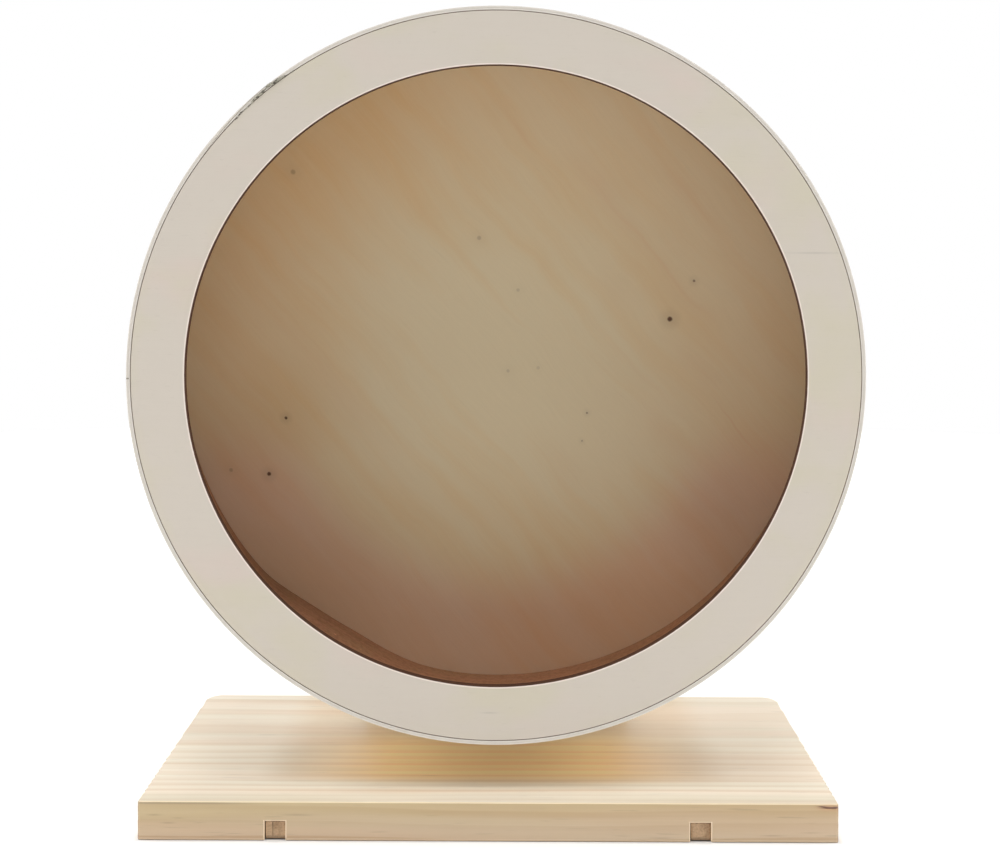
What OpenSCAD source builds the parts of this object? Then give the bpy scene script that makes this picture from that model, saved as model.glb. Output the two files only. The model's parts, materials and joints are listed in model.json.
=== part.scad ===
// Rodent exercise wheel.
// An open plywood drum with a cork running track turns on two ball bearings,
// which sit in a wooden hub behind the drum. A bolt through the bearings
// carries it on an upright board at the rear of a flat pine base.
// X is to the right, Y is to the rear and Z is up. The origin is the middle
// of the base board's underside. Angles round the drum are in degrees
// clockwise from three o'clock, seen from the front.

/* [Drum] */
// Outside diameter of the drum
drum_d = 290; // [240:5:340]
// Depth of the drum, from the front ring's face to the rear disc's back
drum_depth = 100; // [80:5:130]
// Width of the front ring's face, without the band
ring_w = 21.4; // [15:0.2:30]
// Thickness of the front ring
ring_t = 4; // [3:0.5:6]
// Thickness of the rear disc
disc_t = 4; // [3:0.5:6]
// Thickness of the bent band round the drum
band_t = 1.6; // [1:0.1:2.5]
// Where the middle of the band's slanted glue joint lies
band_joint_angle = 224.6; // [0:0.1:359]
// Length of the band's slanted glue joint
band_joint_l = 40; // [16:1:44]
// Width of the glue line in the band's joint
band_joint_gap = 0.2; // [0.1:0.05:0.4]
// Radial room between the band and the boards glued into it
glue_gap = 0.1; // [0.05:0.01:0.2]

/* [Running track] */
// Thickness of the cork on the running track
cork_t = 2; // [1:0.5:4]
// Where the cork's two ends meet
cork_joint_angle = 122; // [0:1:359]
// Gap between the cork's two ends
cork_joint_gap = 0.4; // [0.2:0.1:1]
// How far the straight ends of the cork stand in from the band
cork_flat_rise = 3.9; // [2.5:0.1:6]
// Thickness of the packing strip under the cork's joint
strip_t = 1.5; // [1:0.1:2]

/* [Brads round the rim] */
// Number of brads in each edge of the drum, spaced evenly from the band's joint
brad_count = 12; // [6:1:12]
// Diameter of a brad
brad_d = 1.2; // [0.8:0.1:1.4]
// Length of a brad
brad_l = 10; // [6:1:14]
// Diameter of a brad's head
brad_head_d = 2; // [1.8:0.1:2.4]
// Thickness of a brad's head
brad_head_t = 0.5; // [0.3:0.1:0.8]
// Depth of a brad's head below the band's surface
brad_sink = 0.1; // [0.05:0.05:0.2]
// Radial room round a brad in its hole
brad_clear = 0.03; // [0.02:0.01:0.05]

/* [Hub] */
// Diameter of the hub behind the drum
hub_d = 70; // [50:1:100]
// Thickness of the ring that makes room for the bolt's head
hub_ring_t = 6.5; // [6:0.1:10]
// Lip of the hub ring in front of the bearing's outer race
hub_lip = 1; // [0.6:0.1:1.5]
// Wood left behind the rear bearing
hub_rim_t = 1; // [0.5:0.1:3]

/* [Ball bearings] */
// Outside diameter of a bearing
bearing_od = 22; // [22:1:24]
// Width of a bearing
bearing_w = 7; // [7:0.5:9]
// Diameter of a ball
ball_d = 3.969; // [3.5:0.1:4]
// Number of balls in a bearing
ball_count = 7; // [5:1:7]
// Running room round a ball in its groove
ball_clear = 0.065; // [0.04:0.005:0.08]
// Distance from the ball circle to the face of each race
race_land = 1.45; // [1.3:0.05:1.5]
// Thickness of a shield
shield_t = 0.35; // [0.25:0.05:0.4]
// Depth of a shield below the bearing's face
shield_sink = 0.2; // [0.1:0.05:0.25]
// Width of the step that a shield is seated on
shield_step = 0.55; // [0.4:0.05:0.7]
// Running gap between a shield and the inner race
shield_clear = 0.2; // [0.15:0.05:0.3]
// Radial thickness of the ball cage
cage_t = 1.6; // [1.2:0.1:2]
// Reach of the cage's open side in front of the ball centres
cage_open = 1; // [0.5:0.1:1.4]
// Wall of the cage behind the balls
cage_back_t = 0.55; // [0.4:0.05:0.6]

/* [Axle] */
// Nominal diameter of the axle bolt, which is the bearings' bore
bolt_d = 8; // [6:1:8]
// Running room of the bolt in a bearing, all round
bolt_fit = 0.025; // [0.01:0.005:0.05]
// Radial room of the bolt in wood, washers and spacer
bolt_clear = 0.2; // [0.1:0.05:0.4]
// Width across the flats of the bolt's head and of the nut
hex_af = 13; // [10:1:13]
// Height of the bolt's head
bolt_head_h = 5.3; // [4:0.1:5.8]
// Thickness of the round face under the bolt's head
bolt_face_t = 0.5; // [0.3:0.1:0.8]
// Diameter of the round face under the bolt's head
bolt_face_d = 11.6; // [10:0.1:11.8]
// Length of bolt that shows behind the nut
bolt_proud = 1.4; // [0.8:0.1:4]
// Chamfer on the end of the bolt
bolt_chamfer = 0.8; // [0.4:0.1:1.2]
// Diameter of the spacer between bearing and stand
spacer_d = 12; // [10:0.5:12]
// Diameter of a washer
washer_d = 16; // [14:0.5:24]
// Thickness of a washer
washer_t = 1.6; // [1:0.1:2]
// Height of the nut with its collar
nut_h = 8; // [7:0.5:10]
// Height of the nut's round collar
nut_collar_h = 1.6; // [1:0.1:2]
// Diameter of the nut's round collar
nut_collar_d = 12.2; // [11:0.1:12.4]
// Diameter of the plastic insert in the collar
insert_d = 10.4; // [9.6:0.1:10.8]
// Thickness of the plastic insert
insert_t = 2; // [1.5:0.1:2.4]
// Room between the insert and the nut
insert_clear = 0.02; // [0.01:0.01:0.05]

/* [Stand] */
// Width of the base board
base_w = 270; // [230:5:330]
// Thickness of the base board
base_t = 15; // [12:1:22]
// Distance from the base's front edge back to the drum
front_setback = 15; // [5:1:40]
// Radius of the base's rear corners
base_rear_r = 8; // [2:1:12]
// Radius of the base's front corners
base_front_r = 1.5; // [0.5:0.5:5]
// Gap between the base and the bottom of the drum
drum_gap = 18; // [10:1:40]
// How far the drum's axis stands to the right of the base's middle
drum_offset = 2.5; // [0:0.5:10]
// Gap between the hub and the upright
hub_gap = 4; // [3:0.5:8]
// Thickness of the upright board
upright_t = 15; // [12:1:22]
// Width of the upright's foot
upright_foot_w = 120; // [90:5:150]
// Radius of the upright's round head
upright_head_r = 30; // [20:1:38]
// Side of the square batten in the corner of base and upright
corner_batten_w = 15; // [12:1:18]

/* [Grooves and their battens] */
// Distance from the base's side to the middle of a groove
groove_inset = 53; // [30:1:65]
// Width of a groove in the base's underside
groove_w = 8; // [6:0.5:12]
// Height of a groove in the base's underside
groove_h = 7.5; // [5:0.5:9]
// Gap beside and above a batten in its groove
batten_clear = 0.3; // [0.1:0.1:0.6]
// Distance from the base's underside up to a batten
batten_lift = 0.5; // [0.3:0.1:1]
// Distance from the base's front and rear edges to a batten's ends
batten_recess = 1.2; // [0.5:0.1:4]

/* [Screws] */
// Diameter of the screws through the base into the upright
screw_d = 4; // [3:0.5:4.5]
// Length of the screws through the base into the upright
screw_l = 45; // [35:1:60]
// Distance from the ends of the upright's foot to its outer screws
screw_inset = 20; // [12:1:35]
// Diameter of the screws in the corner batten
small_screw_d = 3.5; // [2.5:0.5:4]
// Depth that the corner batten's screws reach into the base
small_screw_bite = 9.5; // [6:0.5:9.5]
// Distance from the batten's ends to its screws
small_screw_inset = 15; // [8:1:30]
// Depth of a screw's head below the wood
screw_sink = 0.5; // [0.3:0.1:1]
// Radial room of a screw in its hole
screw_clear = 0.05; // [0.05:0.01:0.2]

/* [Hidden] */

$fn = 96;
// How far a cutting shape runs past what it cuts
past = 1;
// Steps in a quarter of a rounded outline
corner_steps = 8;
// Steps round the upright's head
head_steps = 40;

// Radii of the drum
drum_r = drum_d / 2;
band_in_r = drum_r - band_t;
ring_r = band_in_r - glue_gap;
mouth_r = ring_r - ring_w;
cork_in_r = ring_r - cork_t;
cork_flat_back = ring_r - cork_flat_rise;

// Places along the axis, from the front to the rear
hub_block_t = 2 * bearing_w + hub_rim_t;
base_depth = front_setback + drum_depth + hub_ring_t + hub_block_t + hub_gap + upright_t;
base_front = -base_depth / 2;
drum_front = base_front + front_setback;
ring_back = drum_front + ring_t;
drum_back = drum_front + drum_depth;
disc_front = drum_back - disc_t;
bearing_front = drum_back + hub_ring_t;
bearing_back = bearing_front + 2 * bearing_w;
hub_back = bearing_front + hub_block_t;
upright_front = hub_back + hub_gap;
upright_back = upright_front + upright_t;
upright_mid = (upright_front + upright_back) / 2;
nut_front = upright_back + washer_t;
nut_back = nut_front + nut_h;
bolt_end = nut_back + bolt_proud;
corner_batten_mid = upright_front - corner_batten_w / 2;

// Places up the stand
axis_z = base_t + drum_gap + drum_r;
batten_z = base_t + corner_batten_w;

// Rows of screws, from the upright's middle
screw_reach = upright_foot_w / 2 - screw_inset;
screw_places = [-screw_reach, 0, screw_reach];
small_screw_reach = upright_foot_w / 2 - small_screw_inset;
small_screw_l = corner_batten_w - screw_sink + small_screw_bite;
small_screw_places = [-small_screw_reach, small_screw_reach];

// Radii in a bearing
bolt_r = bolt_d / 2 - bolt_fit;
bolt_hole_r = bolt_r + bolt_clear;
bore_r = bolt_d / 2;
bearing_r = bearing_od / 2;
ball_r = ball_d / 2;
ball_circle_r = (bore_r + bearing_r) / 2;
groove_r = ball_r + ball_clear;
inner_race_r = ball_circle_r - race_land;
outer_race_r = ball_circle_r + race_land;
shield_seat_r = outer_race_r + shield_step;
shield_depth = shield_sink + shield_t;
shield_edge_clear = 0.02;
pocket_r = bearing_r - hub_lip;

// Chamfers of hexagons, and the heads, tips and cross slots of screws
hex_chamfer_angle = 30;
screw_head_ratio = 2;
screw_tip_ratio = 1.2;
slot_w = 1;
slot_depth = 1.4;

// Points of an arc about c, from angle a0 to a1
function arc(c, r, a0, a1, steps) =
    [for (i = [0 : steps]) let (a = a0 + (a1 - a0) * i / steps) c + r * [cos(a), sin(a)]];

// Outline of the base: square at the front, rounded at the rear
function base_outline(w, d, front_r, rear_r) = concat(
    arc([-w / 2 + front_r, -d / 2 + front_r], front_r, 180, 270, corner_steps),
    arc([w / 2 - front_r, -d / 2 + front_r], front_r, 270, 360, corner_steps),
    arc([w / 2 - rear_r, d / 2 - rear_r], rear_r, 0, 90, corner_steps),
    arc([-w / 2 + rear_r, d / 2 - rear_r], rear_r, 90, 180, corner_steps));

// Outline of the upright: its sides run from the foot as tangents to a round head
function upright_outline(foot_w, rise, r) =
    let (reach = norm([foot_w / 2, rise]),
         touch = atan2(-rise, foot_w / 2) + acos(r / reach))
    concat([[-foot_w / 2, 0], [foot_w / 2, 0]],
           arc([0, rise], r, touch, 180 - touch, head_steps));

// Moves its children onto the drum's axis
module on_axis() {
    translate([drum_offset, 0, axis_z]) children();
}

// Turns its children's X direction to an angle round the drum
module turned(angle) {
    rotate([0, angle, 0]) children();
}

// A round bar along Y
module bar(r, y0, y1) {
    translate([0, y0, 0]) rotate([-90, 0, 0]) cylinder(r = r, h = y1 - y0);
}

// A tube along Y
module tube(r_out, r_in, y0, y1) {
    difference() {
        bar(r_out, y0, y1);
        bar(r_in, y0 - past, y1 + past);
    }
}

// A hexagon along Y whose corners are chamfered at its front
module hex_bar(af, y0, y1) {
    corner_r = af / 2 / cos(30);
    wide_r = corner_r + past;
    slope_h = (wide_r - af / 2) * tan(hex_chamfer_angle);
    h = y1 - y0;
    translate([0, y0, 0]) rotate([-90, 0, 0]) intersection() {
        cylinder(r = corner_r, h = h, $fn = 6);
        rotate_extrude() polygon([[0, 0], [af / 2, 0], [wide_r, slope_h], [wide_r, h], [0, h]]);
    }
}

// A radial brad whose head lies just under the band, or its hole with more room
module brad(room) {
    head_out = drum_r - brad_sink;
    hole_out = room > 0 ? drum_r + past : head_out;
    rotate([0, 90, 0]) {
        translate([0, 0, head_out - brad_l - room]) cylinder(r = brad_d / 2 + room, h = brad_l + room);
        translate([0, 0, head_out - brad_head_t])
            cylinder(r = brad_head_d / 2 + room, h = hole_out - head_out + brad_head_t);
    }
}

// The ring of brads, or of their holes, at y
module brad_ring(y, room) {
    on_axis() translate([0, y, 0])
        for (i = [0 : brad_count - 1])
            turned(band_joint_angle + (i + 0.5) * 360 / brad_count) brad(room);
}

// A countersunk screw that points up, with its head's face at z = 0
module screw(d, l) {
    head_r = d * screw_head_ratio / 2;
    head_h = head_r - d / 2;
    tip_h = d * screw_tip_ratio;
    difference() {
        rotate_extrude() polygon([
            [0, 0], [head_r, 0], [d / 2, head_h], [d / 2, l - tip_h], [0, l]]);
        for (a = [0, 90]) rotate([0, 0, a])
            translate([-d / 2, -slot_w / 2, -past]) cube([d, slot_w, slot_depth + past]);
    }
}

// The hole for that screw, open below z = 0
module screw_hole(d, l) {
    head_r = d * screw_head_ratio / 2 + screw_clear;
    shank_r = d / 2 + screw_clear;
    head_h = head_r - shank_r;
    rotate_extrude() polygon([
        [0, -past], [head_r, -past], [head_r, 0], [shank_r, head_h], [shank_r, l], [0, l + shank_r]]);
}

// Puts its children at each screw from below into the upright
module at_upright_screws() {
    for (x = screw_places) translate([drum_offset + x, upright_mid, screw_sink]) children();
}

// Puts its children at each screw from above through the corner batten
module at_batten_screws() {
    for (x = small_screw_places)
        translate([drum_offset + x, corner_batten_mid, batten_z - screw_sink]) rotate([180, 0, 0]) children();
}

module base_board() {
    color("burlywood") difference() {
        linear_extrude(base_t) polygon(base_outline(base_w, base_depth, base_front_r, base_rear_r));
        for (side = [-1, 1])
            translate([side * (base_w / 2 - groove_inset) - groove_w / 2, base_front - past, -past])
                cube([groove_w, base_depth + 2 * past, groove_h + past]);
        at_upright_screws() screw_hole(screw_d, screw_l);
        at_batten_screws() screw_hole(small_screw_d, small_screw_l);
    }
}

// A batten pressed against the right wall of its groove
module groove_batten(side) {
    left = side * (base_w / 2 - groove_inset) - groove_w / 2 + batten_clear;
    color("peru") translate([left, base_front + batten_recess, batten_lift])
        cube([groove_w - batten_clear, base_depth - 2 * batten_recess,
              groove_h - batten_clear - batten_lift]);
}

module upright_board() {
    color("burlywood") difference() {
        translate([drum_offset, upright_back, base_t]) rotate([90, 0, 0]) linear_extrude(upright_t)
            polygon(upright_outline(upright_foot_w, axis_z - base_t, upright_head_r));
        on_axis() bar(bolt_hole_r, upright_front - past, upright_back + past);
        at_upright_screws() screw_hole(screw_d, screw_l);
    }
}

module corner_batten() {
    color("tan") difference() {
        translate([drum_offset - upright_foot_w / 2, upright_front - corner_batten_w, base_t])
            cube([upright_foot_w, corner_batten_w, corner_batten_w]);
        at_batten_screws() screw_hole(small_screw_d, small_screw_l);
    }
}

module upright_screws() {
    color("silver") at_upright_screws() screw(screw_d, screw_l);
}

module corner_batten_screws() {
    color("silver") at_batten_screws() screw(small_screw_d, small_screw_l);
}

module axle_bolt() {
    color("silver") on_axis() {
        hex_bar(hex_af, bearing_front - bolt_head_h, bearing_front - bolt_face_t);
        bar(bolt_face_d / 2, bearing_front - bolt_face_t, bearing_front);
        translate([0, bearing_front, 0]) rotate([-90, 0, 0]) rotate_extrude() polygon([
            [0, 0], [bolt_r, 0], [bolt_r, bolt_end - bearing_front - bolt_chamfer],
            [bolt_r - bolt_chamfer, bolt_end - bearing_front], [0, bolt_end - bearing_front]]);
    }
}

module axle_spacer() {
    color("silver") on_axis() tube(spacer_d / 2, bolt_hole_r, bearing_back, upright_front - washer_t);
}

module front_washer() {
    color("silver") on_axis() tube(washer_d / 2, bolt_hole_r, upright_front - washer_t, upright_front);
}

module rear_washer() {
    color("silver") on_axis() tube(washer_d / 2, bolt_hole_r, upright_back, nut_front);
}

module lock_nut() {
    hex_back = nut_back - nut_collar_h;
    color("silver") on_axis() difference() {
        union() {
            hex_bar(hex_af, nut_front, hex_back);
            bar(nut_collar_d / 2, hex_back, nut_back);
        }
        bar(bolt_d / 2, nut_front - past, nut_back + past);
        bar(insert_d / 2, nut_back - insert_t, nut_back + past);
    }
}

module lock_nut_insert() {
    color("royalblue") on_axis()
        tube(insert_d / 2 - insert_clear, bolt_d / 2, nut_back - insert_t, nut_back - insert_clear);
}

// The round groove that the balls run in
module ball_groove(y0) {
    translate([0, y0 + bearing_w / 2, 0]) rotate([-90, 0, 0])
        rotate_extrude() translate([ball_circle_r, 0]) circle(r = groove_r);
}

// Puts its children at the centre of each ball
module at_balls(y0) {
    for (i = [0 : ball_count - 1])
        turned(i * 360 / ball_count) translate([ball_circle_r, y0 + bearing_w / 2, 0]) children();
}

module inner_race(y0) {
    color("lightgray") on_axis() difference() {
        tube(inner_race_r, bore_r, y0, y0 + bearing_w);
        ball_groove(y0);
    }
}

module outer_race(y0) {
    color("lightgray") on_axis() difference() {
        tube(bearing_r, outer_race_r, y0, y0 + bearing_w);
        ball_groove(y0);
        bar(shield_seat_r, y0 - past, y0 + shield_depth);
        bar(shield_seat_r, y0 + bearing_w - shield_depth, y0 + bearing_w + past);
    }
}

module balls(y0) {
    color("white") on_axis() at_balls(y0) sphere(r = ball_r);
}

module ball_cage(y0) {
    middle = y0 + bearing_w / 2;
    color("saddlebrown") on_axis() difference() {
        tube(ball_circle_r + cage_t / 2, ball_circle_r - cage_t / 2,
             middle - cage_open, middle + groove_r + cage_back_t);
        at_balls(y0) rotate([0, 90, 0]) cylinder(r = groove_r, h = 2 * cage_t, center = true);
    }
}

module shields(y0) {
    color("gray") on_axis() for (front = [y0 + shield_sink, y0 + bearing_w - shield_depth])
        tube(shield_seat_r - shield_edge_clear, inner_race_r + shield_clear, front, front + shield_t);
}

module hub_block() {
    color("tan") on_axis() tube(hub_d / 2, bearing_r + bolt_fit, bearing_front, hub_back);
}

module hub_ring() {
    color("wheat") on_axis() tube(hub_d / 2, pocket_r, drum_back, bearing_front);
}

module rear_disc() {
    color("wheat") difference() {
        on_axis() bar(ring_r, disc_front, drum_back);
        brad_ring(drum_back - disc_t / 2, brad_clear);
    }
}

module front_ring() {
    color("wheat") difference() {
        on_axis() tube(ring_r, mouth_r, drum_front, ring_back);
        brad_ring(drum_front + ring_t / 2, brad_clear);
    }
}

// The glue line of the band's joint: a thin curved cut whose centre is shifted
// sideways, so that it climbs from the band's inside to its outside
module band_joint() {
    mid_r = drum_r - band_t / 2;
    shift = band_t * mid_r / band_joint_l;
    turned(band_joint_angle) intersection() {
        translate([0, 0, shift])
            tube(mid_r + band_joint_gap / 2, mid_r - band_joint_gap / 2, drum_front - past, drum_back + past);
        translate([mid_r - band_joint_l, drum_front - 2 * past, -band_joint_l])
            cube([2 * band_joint_l, drum_depth + 4 * past, 2 * band_joint_l]);
    }
}

module rim_band() {
    color("blanchedalmond") difference() {
        on_axis() tube(drum_r, band_in_r, drum_front, drum_back);
        on_axis() band_joint();
        brad_ring(drum_front + ring_t / 2, brad_clear);
        brad_ring(drum_back - disc_t / 2, brad_clear);
    }
}

module rim_brads_front() {
    color("silver") brad_ring(drum_front + ring_t / 2, 0);
}

module rim_brads_rear() {
    color("silver") brad_ring(drum_back - disc_t / 2, 0);
}

// A round bar with a flat at flat_x on the side of the cork's joint
module flatted_bar(r, flat_x, y0, y1) {
    intersection() {
        bar(r, y0, y1);
        turned(cork_joint_angle) translate([flat_x - 2 * drum_d, y0 - past, -drum_d])
            cube([2 * drum_d, y1 - y0 + 2 * past, 2 * drum_d]);
    }
}

module cork_track() {
    color("sienna") on_axis() difference() {
        flatted_bar(ring_r, cork_flat_back, ring_back, disc_front);
        flatted_bar(cork_in_r, cork_flat_back - cork_t, ring_back - past, disc_front + past);
        turned(cork_joint_angle) translate([cork_flat_back - cork_t - past, ring_back - past, -cork_joint_gap / 2])
            cube([cork_t + 2 * past, disc_front - ring_back + 2 * past, cork_joint_gap]);
    }
}

// A flat strip whose two long edges rest on the band
module cork_joint_strip() {
    color("wheat") on_axis() intersection() {
        bar(ring_r, ring_back, disc_front);
        turned(cork_joint_angle) translate([cork_flat_back, ring_back, -drum_r])
            cube([strip_t, disc_front - ring_back, drum_d]);
    }
}

base_board();
groove_batten(-1);  // groove_batten_left
groove_batten(1);  // groove_batten_right
upright_board();
corner_batten();
upright_screws();
corner_batten_screws();
axle_bolt();
axle_spacer();
front_washer();
rear_washer();
lock_nut();
lock_nut_insert();
inner_race(bearing_front);  // front_inner_race
outer_race(bearing_front);  // front_outer_race
balls(bearing_front);  // front_balls
ball_cage(bearing_front);  // front_ball_cage
shields(bearing_front);  // front_shields
inner_race(bearing_front + bearing_w);  // rear_inner_race
outer_race(bearing_front + bearing_w);  // rear_outer_race
balls(bearing_front + bearing_w);  // rear_balls
ball_cage(bearing_front + bearing_w);  // rear_ball_cage
shields(bearing_front + bearing_w);  // rear_shields
hub_block();
hub_ring();
rear_disc();
front_ring();
rim_band();
rim_brads_front();
rim_brads_rear();
cork_track();
cork_joint_strip();
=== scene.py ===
"""The looks of a wooden exercise wheel for a small rodent, built round its packed construction model.

Lengths are in metres, in the model's own frame: X to the right, Y to the rear, Z up.
Angles round the drum are in degrees, clockwise from three o'clock, seen from the front.
"""

import json
import logging
import math
from dataclasses import dataclass
from enum import Enum

import bpy
import numpy as np
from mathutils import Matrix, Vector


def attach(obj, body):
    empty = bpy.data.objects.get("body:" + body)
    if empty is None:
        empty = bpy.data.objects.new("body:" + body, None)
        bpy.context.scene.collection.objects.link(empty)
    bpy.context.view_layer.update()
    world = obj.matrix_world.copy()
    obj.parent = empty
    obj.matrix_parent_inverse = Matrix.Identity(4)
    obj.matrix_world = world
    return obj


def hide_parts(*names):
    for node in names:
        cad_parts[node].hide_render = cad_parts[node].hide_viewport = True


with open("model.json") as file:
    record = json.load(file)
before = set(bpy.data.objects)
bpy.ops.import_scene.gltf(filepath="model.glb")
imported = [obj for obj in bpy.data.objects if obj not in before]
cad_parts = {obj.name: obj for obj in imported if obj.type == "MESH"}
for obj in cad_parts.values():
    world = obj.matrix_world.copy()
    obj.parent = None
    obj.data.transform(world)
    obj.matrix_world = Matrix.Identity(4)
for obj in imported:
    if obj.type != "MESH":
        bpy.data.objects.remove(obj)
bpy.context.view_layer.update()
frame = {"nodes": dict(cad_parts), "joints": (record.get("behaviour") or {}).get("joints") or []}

log = logging.getLogger("exercise_wheel")
MM = 0.001
# Edges sharper than this stay sharp
CREASE = math.radians(38.0)
# Where the drum's axis lies, in x and z: its spin is the frame's first joint
AXIS = tuple(frame["joints"][0]["pos_m"][::2])
# A rounded edge, in radii: how far it is drawn in, and how far from the end that is
QUARTER = np.radians([0.0, 30.0, 60.0, 90.0])
DRAWN_IN = np.concatenate([[2.0], 1 - np.sin(QUARTER), [0.0]])
FROM_END = np.concatenate([[0.0], 1 - np.cos(QUARTER), [2.0]])
TO_REAR = np.array([0.0, 1.0, 0.0])
UP = np.array([0.0, 0.0, 1.0])

Colour = tuple[float, float, float]
Place = tuple[float, float, float]


class Body(Enum):
    """The bodies that the new pieces ride on."""

    STAND = "stand"
    WHEEL = "wheel"


class Slot(Enum):
    """The record's material slots, one listed with each new piece."""

    PINE = "pine"
    BATTEN = "hardwood_batten"
    PLYWOOD = "plywood"
    BENT_PLY = "bent_ply"
    CORK = "cork"
    ZINC = "zinc_steel"


class Way(Enum):
    """The direction that a piece or its grain runs in, as the number of its axis."""

    X = 0
    Y = 1
    Z = 2


class Ends(Enum):
    """How a grid is closed at its first and last row."""

    JOINED = "the last row joins the first"
    FLAT = "one flat face at each end"
    POLES = "the first and last row are single points"


def grid_quads(rows: int, columns: int, joined: bool) -> np.ndarray:
    """Numbers the corners of the quads between neighbouring points of a grid.

    Args:
        rows: Number of rows. A row is a closed loop of points.
        columns: Number of points in a row.
        joined: Whether the last row joins the first.

    Returns:
        Four point numbers for each quad.
    """
    row, column = np.meshgrid(np.arange(rows if joined else rows - 1), np.arange(columns), indexing="ij")
    here, below, beside = row * columns, (row + 1) % rows * columns, (column + 1) % columns
    return np.stack([here + column, here + beside, below + beside, below + column], -1).reshape(-1, 4)


def relief(along: np.ndarray, size: float, seed: int, across: np.ndarray | float = 0.0,
           girth: float = 0.0) -> np.ndarray:
    """Gives a smooth random height to each place.

    Random heights stand on a square lattice. Each place blends its four neighbours with
    the weight 3t^2 - 2t^3, where t is how far it lies between them.

    Args:
        along: Places along the surface.
        size: Distance between the lattice's points.
        seed: Picks the random heights.
        across: Places across it.
        girth: Length after which the heights repeat along the surface, or 0.

    Returns:
        Heights between -1 and 1.
    """
    lattice = 64
    cells = max(1, round(girth / size)) if girth else lattice
    u, v = along / (girth / cells if girth else size), across / size
    heights = np.random.default_rng(seed).uniform(-1.0, 1.0, (cells, lattice))
    i, j = np.floor(u).astype(int), np.floor(v).astype(int)
    s, t = u - i, v - j
    s, t = s * s * (3 - 2 * s), t * t * (3 - 2 * t)
    here, there, rows = i % cells, (i + 1) % cells, (j % lattice, (j + 1) % lattice)
    near, far = (heights[here, row] * (1 - s) + heights[there, row] * s for row in rows)
    return near * (1 - t) + far * t


def whole_turn(steps: int) -> np.ndarray:
    """Gives angles once round, in radians."""
    return np.linspace(0, 2 * np.pi, steps, endpoint=False)


def sides(corners: np.ndarray) -> tuple[np.ndarray, np.ndarray]:
    """Finds how the sides of outlines run at their corners.

    Args:
        corners: The corners, one (u, v) each, for one outline or several.

    Returns:
        The unit directions from each corner to the one before it, and to the one after.
    """
    before, after = np.roll(corners, 1, -2) - corners, np.roll(corners, -1, -2) - corners
    unit = [way / np.linalg.norm(way, axis=-1, keepdims=True) for way in (before, after)]
    return unit[0], unit[1]


def shrink(corners: np.ndarray, distance: np.ndarray) -> np.ndarray:
    """Moves every side of an anticlockwise outline inwards.

    A corner between sides with the outward normals n and m moves by -d(n + m) / (1 + n.m).

    Args:
        corners: The outline's corners, one (u, v) each.
        distance: One distance d for each copy that is wanted.

    Returns:
        The corners of every copy.
    """
    before, after = sides(corners)
    n, m = before[:, ::-1] * [-1, 1], after[:, ::-1] * [1, -1]
    move = (n + m) / (1 + (n * m).sum(1, keepdims=True))
    return corners - move * np.reshape(distance, (-1, 1, 1))


def soften(corners: np.ndarray, reach: float) -> np.ndarray:
    """Rounds every corner of closed outlines.

    Each corner p becomes the parabola a(1-s)^2 + 2ps(1-s) + bs^2, where a and b lie at the
    given reach on the two sides that meet there. One more point on each side keeps the
    shading of the flat faces even.

    Args:
        corners: The corners, one (u, v) each, for one outline or several.
        reach: How far each rounding reaches along its sides.

    Returns:
        The points of the rounded outlines, seven for each corner.
    """
    share = np.linspace(0, 1, 5)[:, None]
    before, after = (way[..., None, :] for way in sides(corners))
    p = corners[..., None, :]
    a, b = p + before * reach, p + after * reach
    curve = a * (1 - share) ** 2 + 2 * p * share * (1 - share) + b * share**2
    points = np.concatenate([a + before * reach, curve, b + after * reach], -2)
    return points.reshape(*corners.shape[:-2], -1, 2)


def divide(outlines: np.ndarray, side: int, steps: int) -> np.ndarray:
    """Puts more points, evenly spread, on one side of outlines.

    Args:
        outlines: Points of one or more outlines.
        side: Number of the point that the side starts at.
        steps: How many points are added.

    Returns:
        The outlines with their added points.
    """
    share = np.linspace(0, 1, steps + 2)[1:-1, None]
    start, end = outlines[..., side:side + 1, :], outlines[..., side + 1:side + 2, :]
    added = start * (1 - share) + end * share
    return np.concatenate([outlines[..., :side + 1, :], added, outlines[..., side + 1:, :]], -2)


def eased_loop(r0: np.ndarray, r1: np.ndarray, y0: float, y1: float,
               ease: np.ndarray) -> tuple[np.ndarray, np.ndarray]:
    """Gives the closed outline of a rectangle whose corners are quarter circles.

    Args:
        r0: Low side, one number or one for each station as a column.
        r1: High side, likewise.
        y0: Front side.
        y1: Rear side.
        ease: Radius of the corners, likewise.

    Returns:
        The outline's places between the sides r and along y, as two arrays.
    """
    inward, onward = ease * DRAWN_IN, ease * FROM_END
    r = [r0 + inward[..., ::-1], r1 - inward, r1 - inward[..., ::-1], r0 + inward]
    y = [y0 + onward[..., ::-1], y0 + onward, y1 - onward[..., ::-1], y1 - onward]
    return np.concatenate(r, -1), np.concatenate(y, -1)


def turned(radius: np.ndarray, height: np.ndarray, angle: np.ndarray, centre: tuple[float, float] = AXIS,
           way: Way = Way.Y) -> np.ndarray:
    """Places points round an axis: each lies at its radius in the direction of its angle.

    Args:
        radius: Distances from the axis.
        height: Places along the axis.
        angle: Angles in radians, clockwise seen from the front on an axis along Y.
        centre: Where the axis lies: x and z on an axis along Y, x and y on one along Z.
        way: The axis's direction, Y or Z.

    Returns:
        The points, with x, y and z last.
    """
    radius, height, angle = np.broadcast_arrays(radius, height, angle)
    a, b = centre[0] + radius * np.cos(angle), centre[1] - radius * np.sin(angle)
    return np.stack([a, height, b] if way is Way.Y else [a, b, height], -1)


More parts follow.
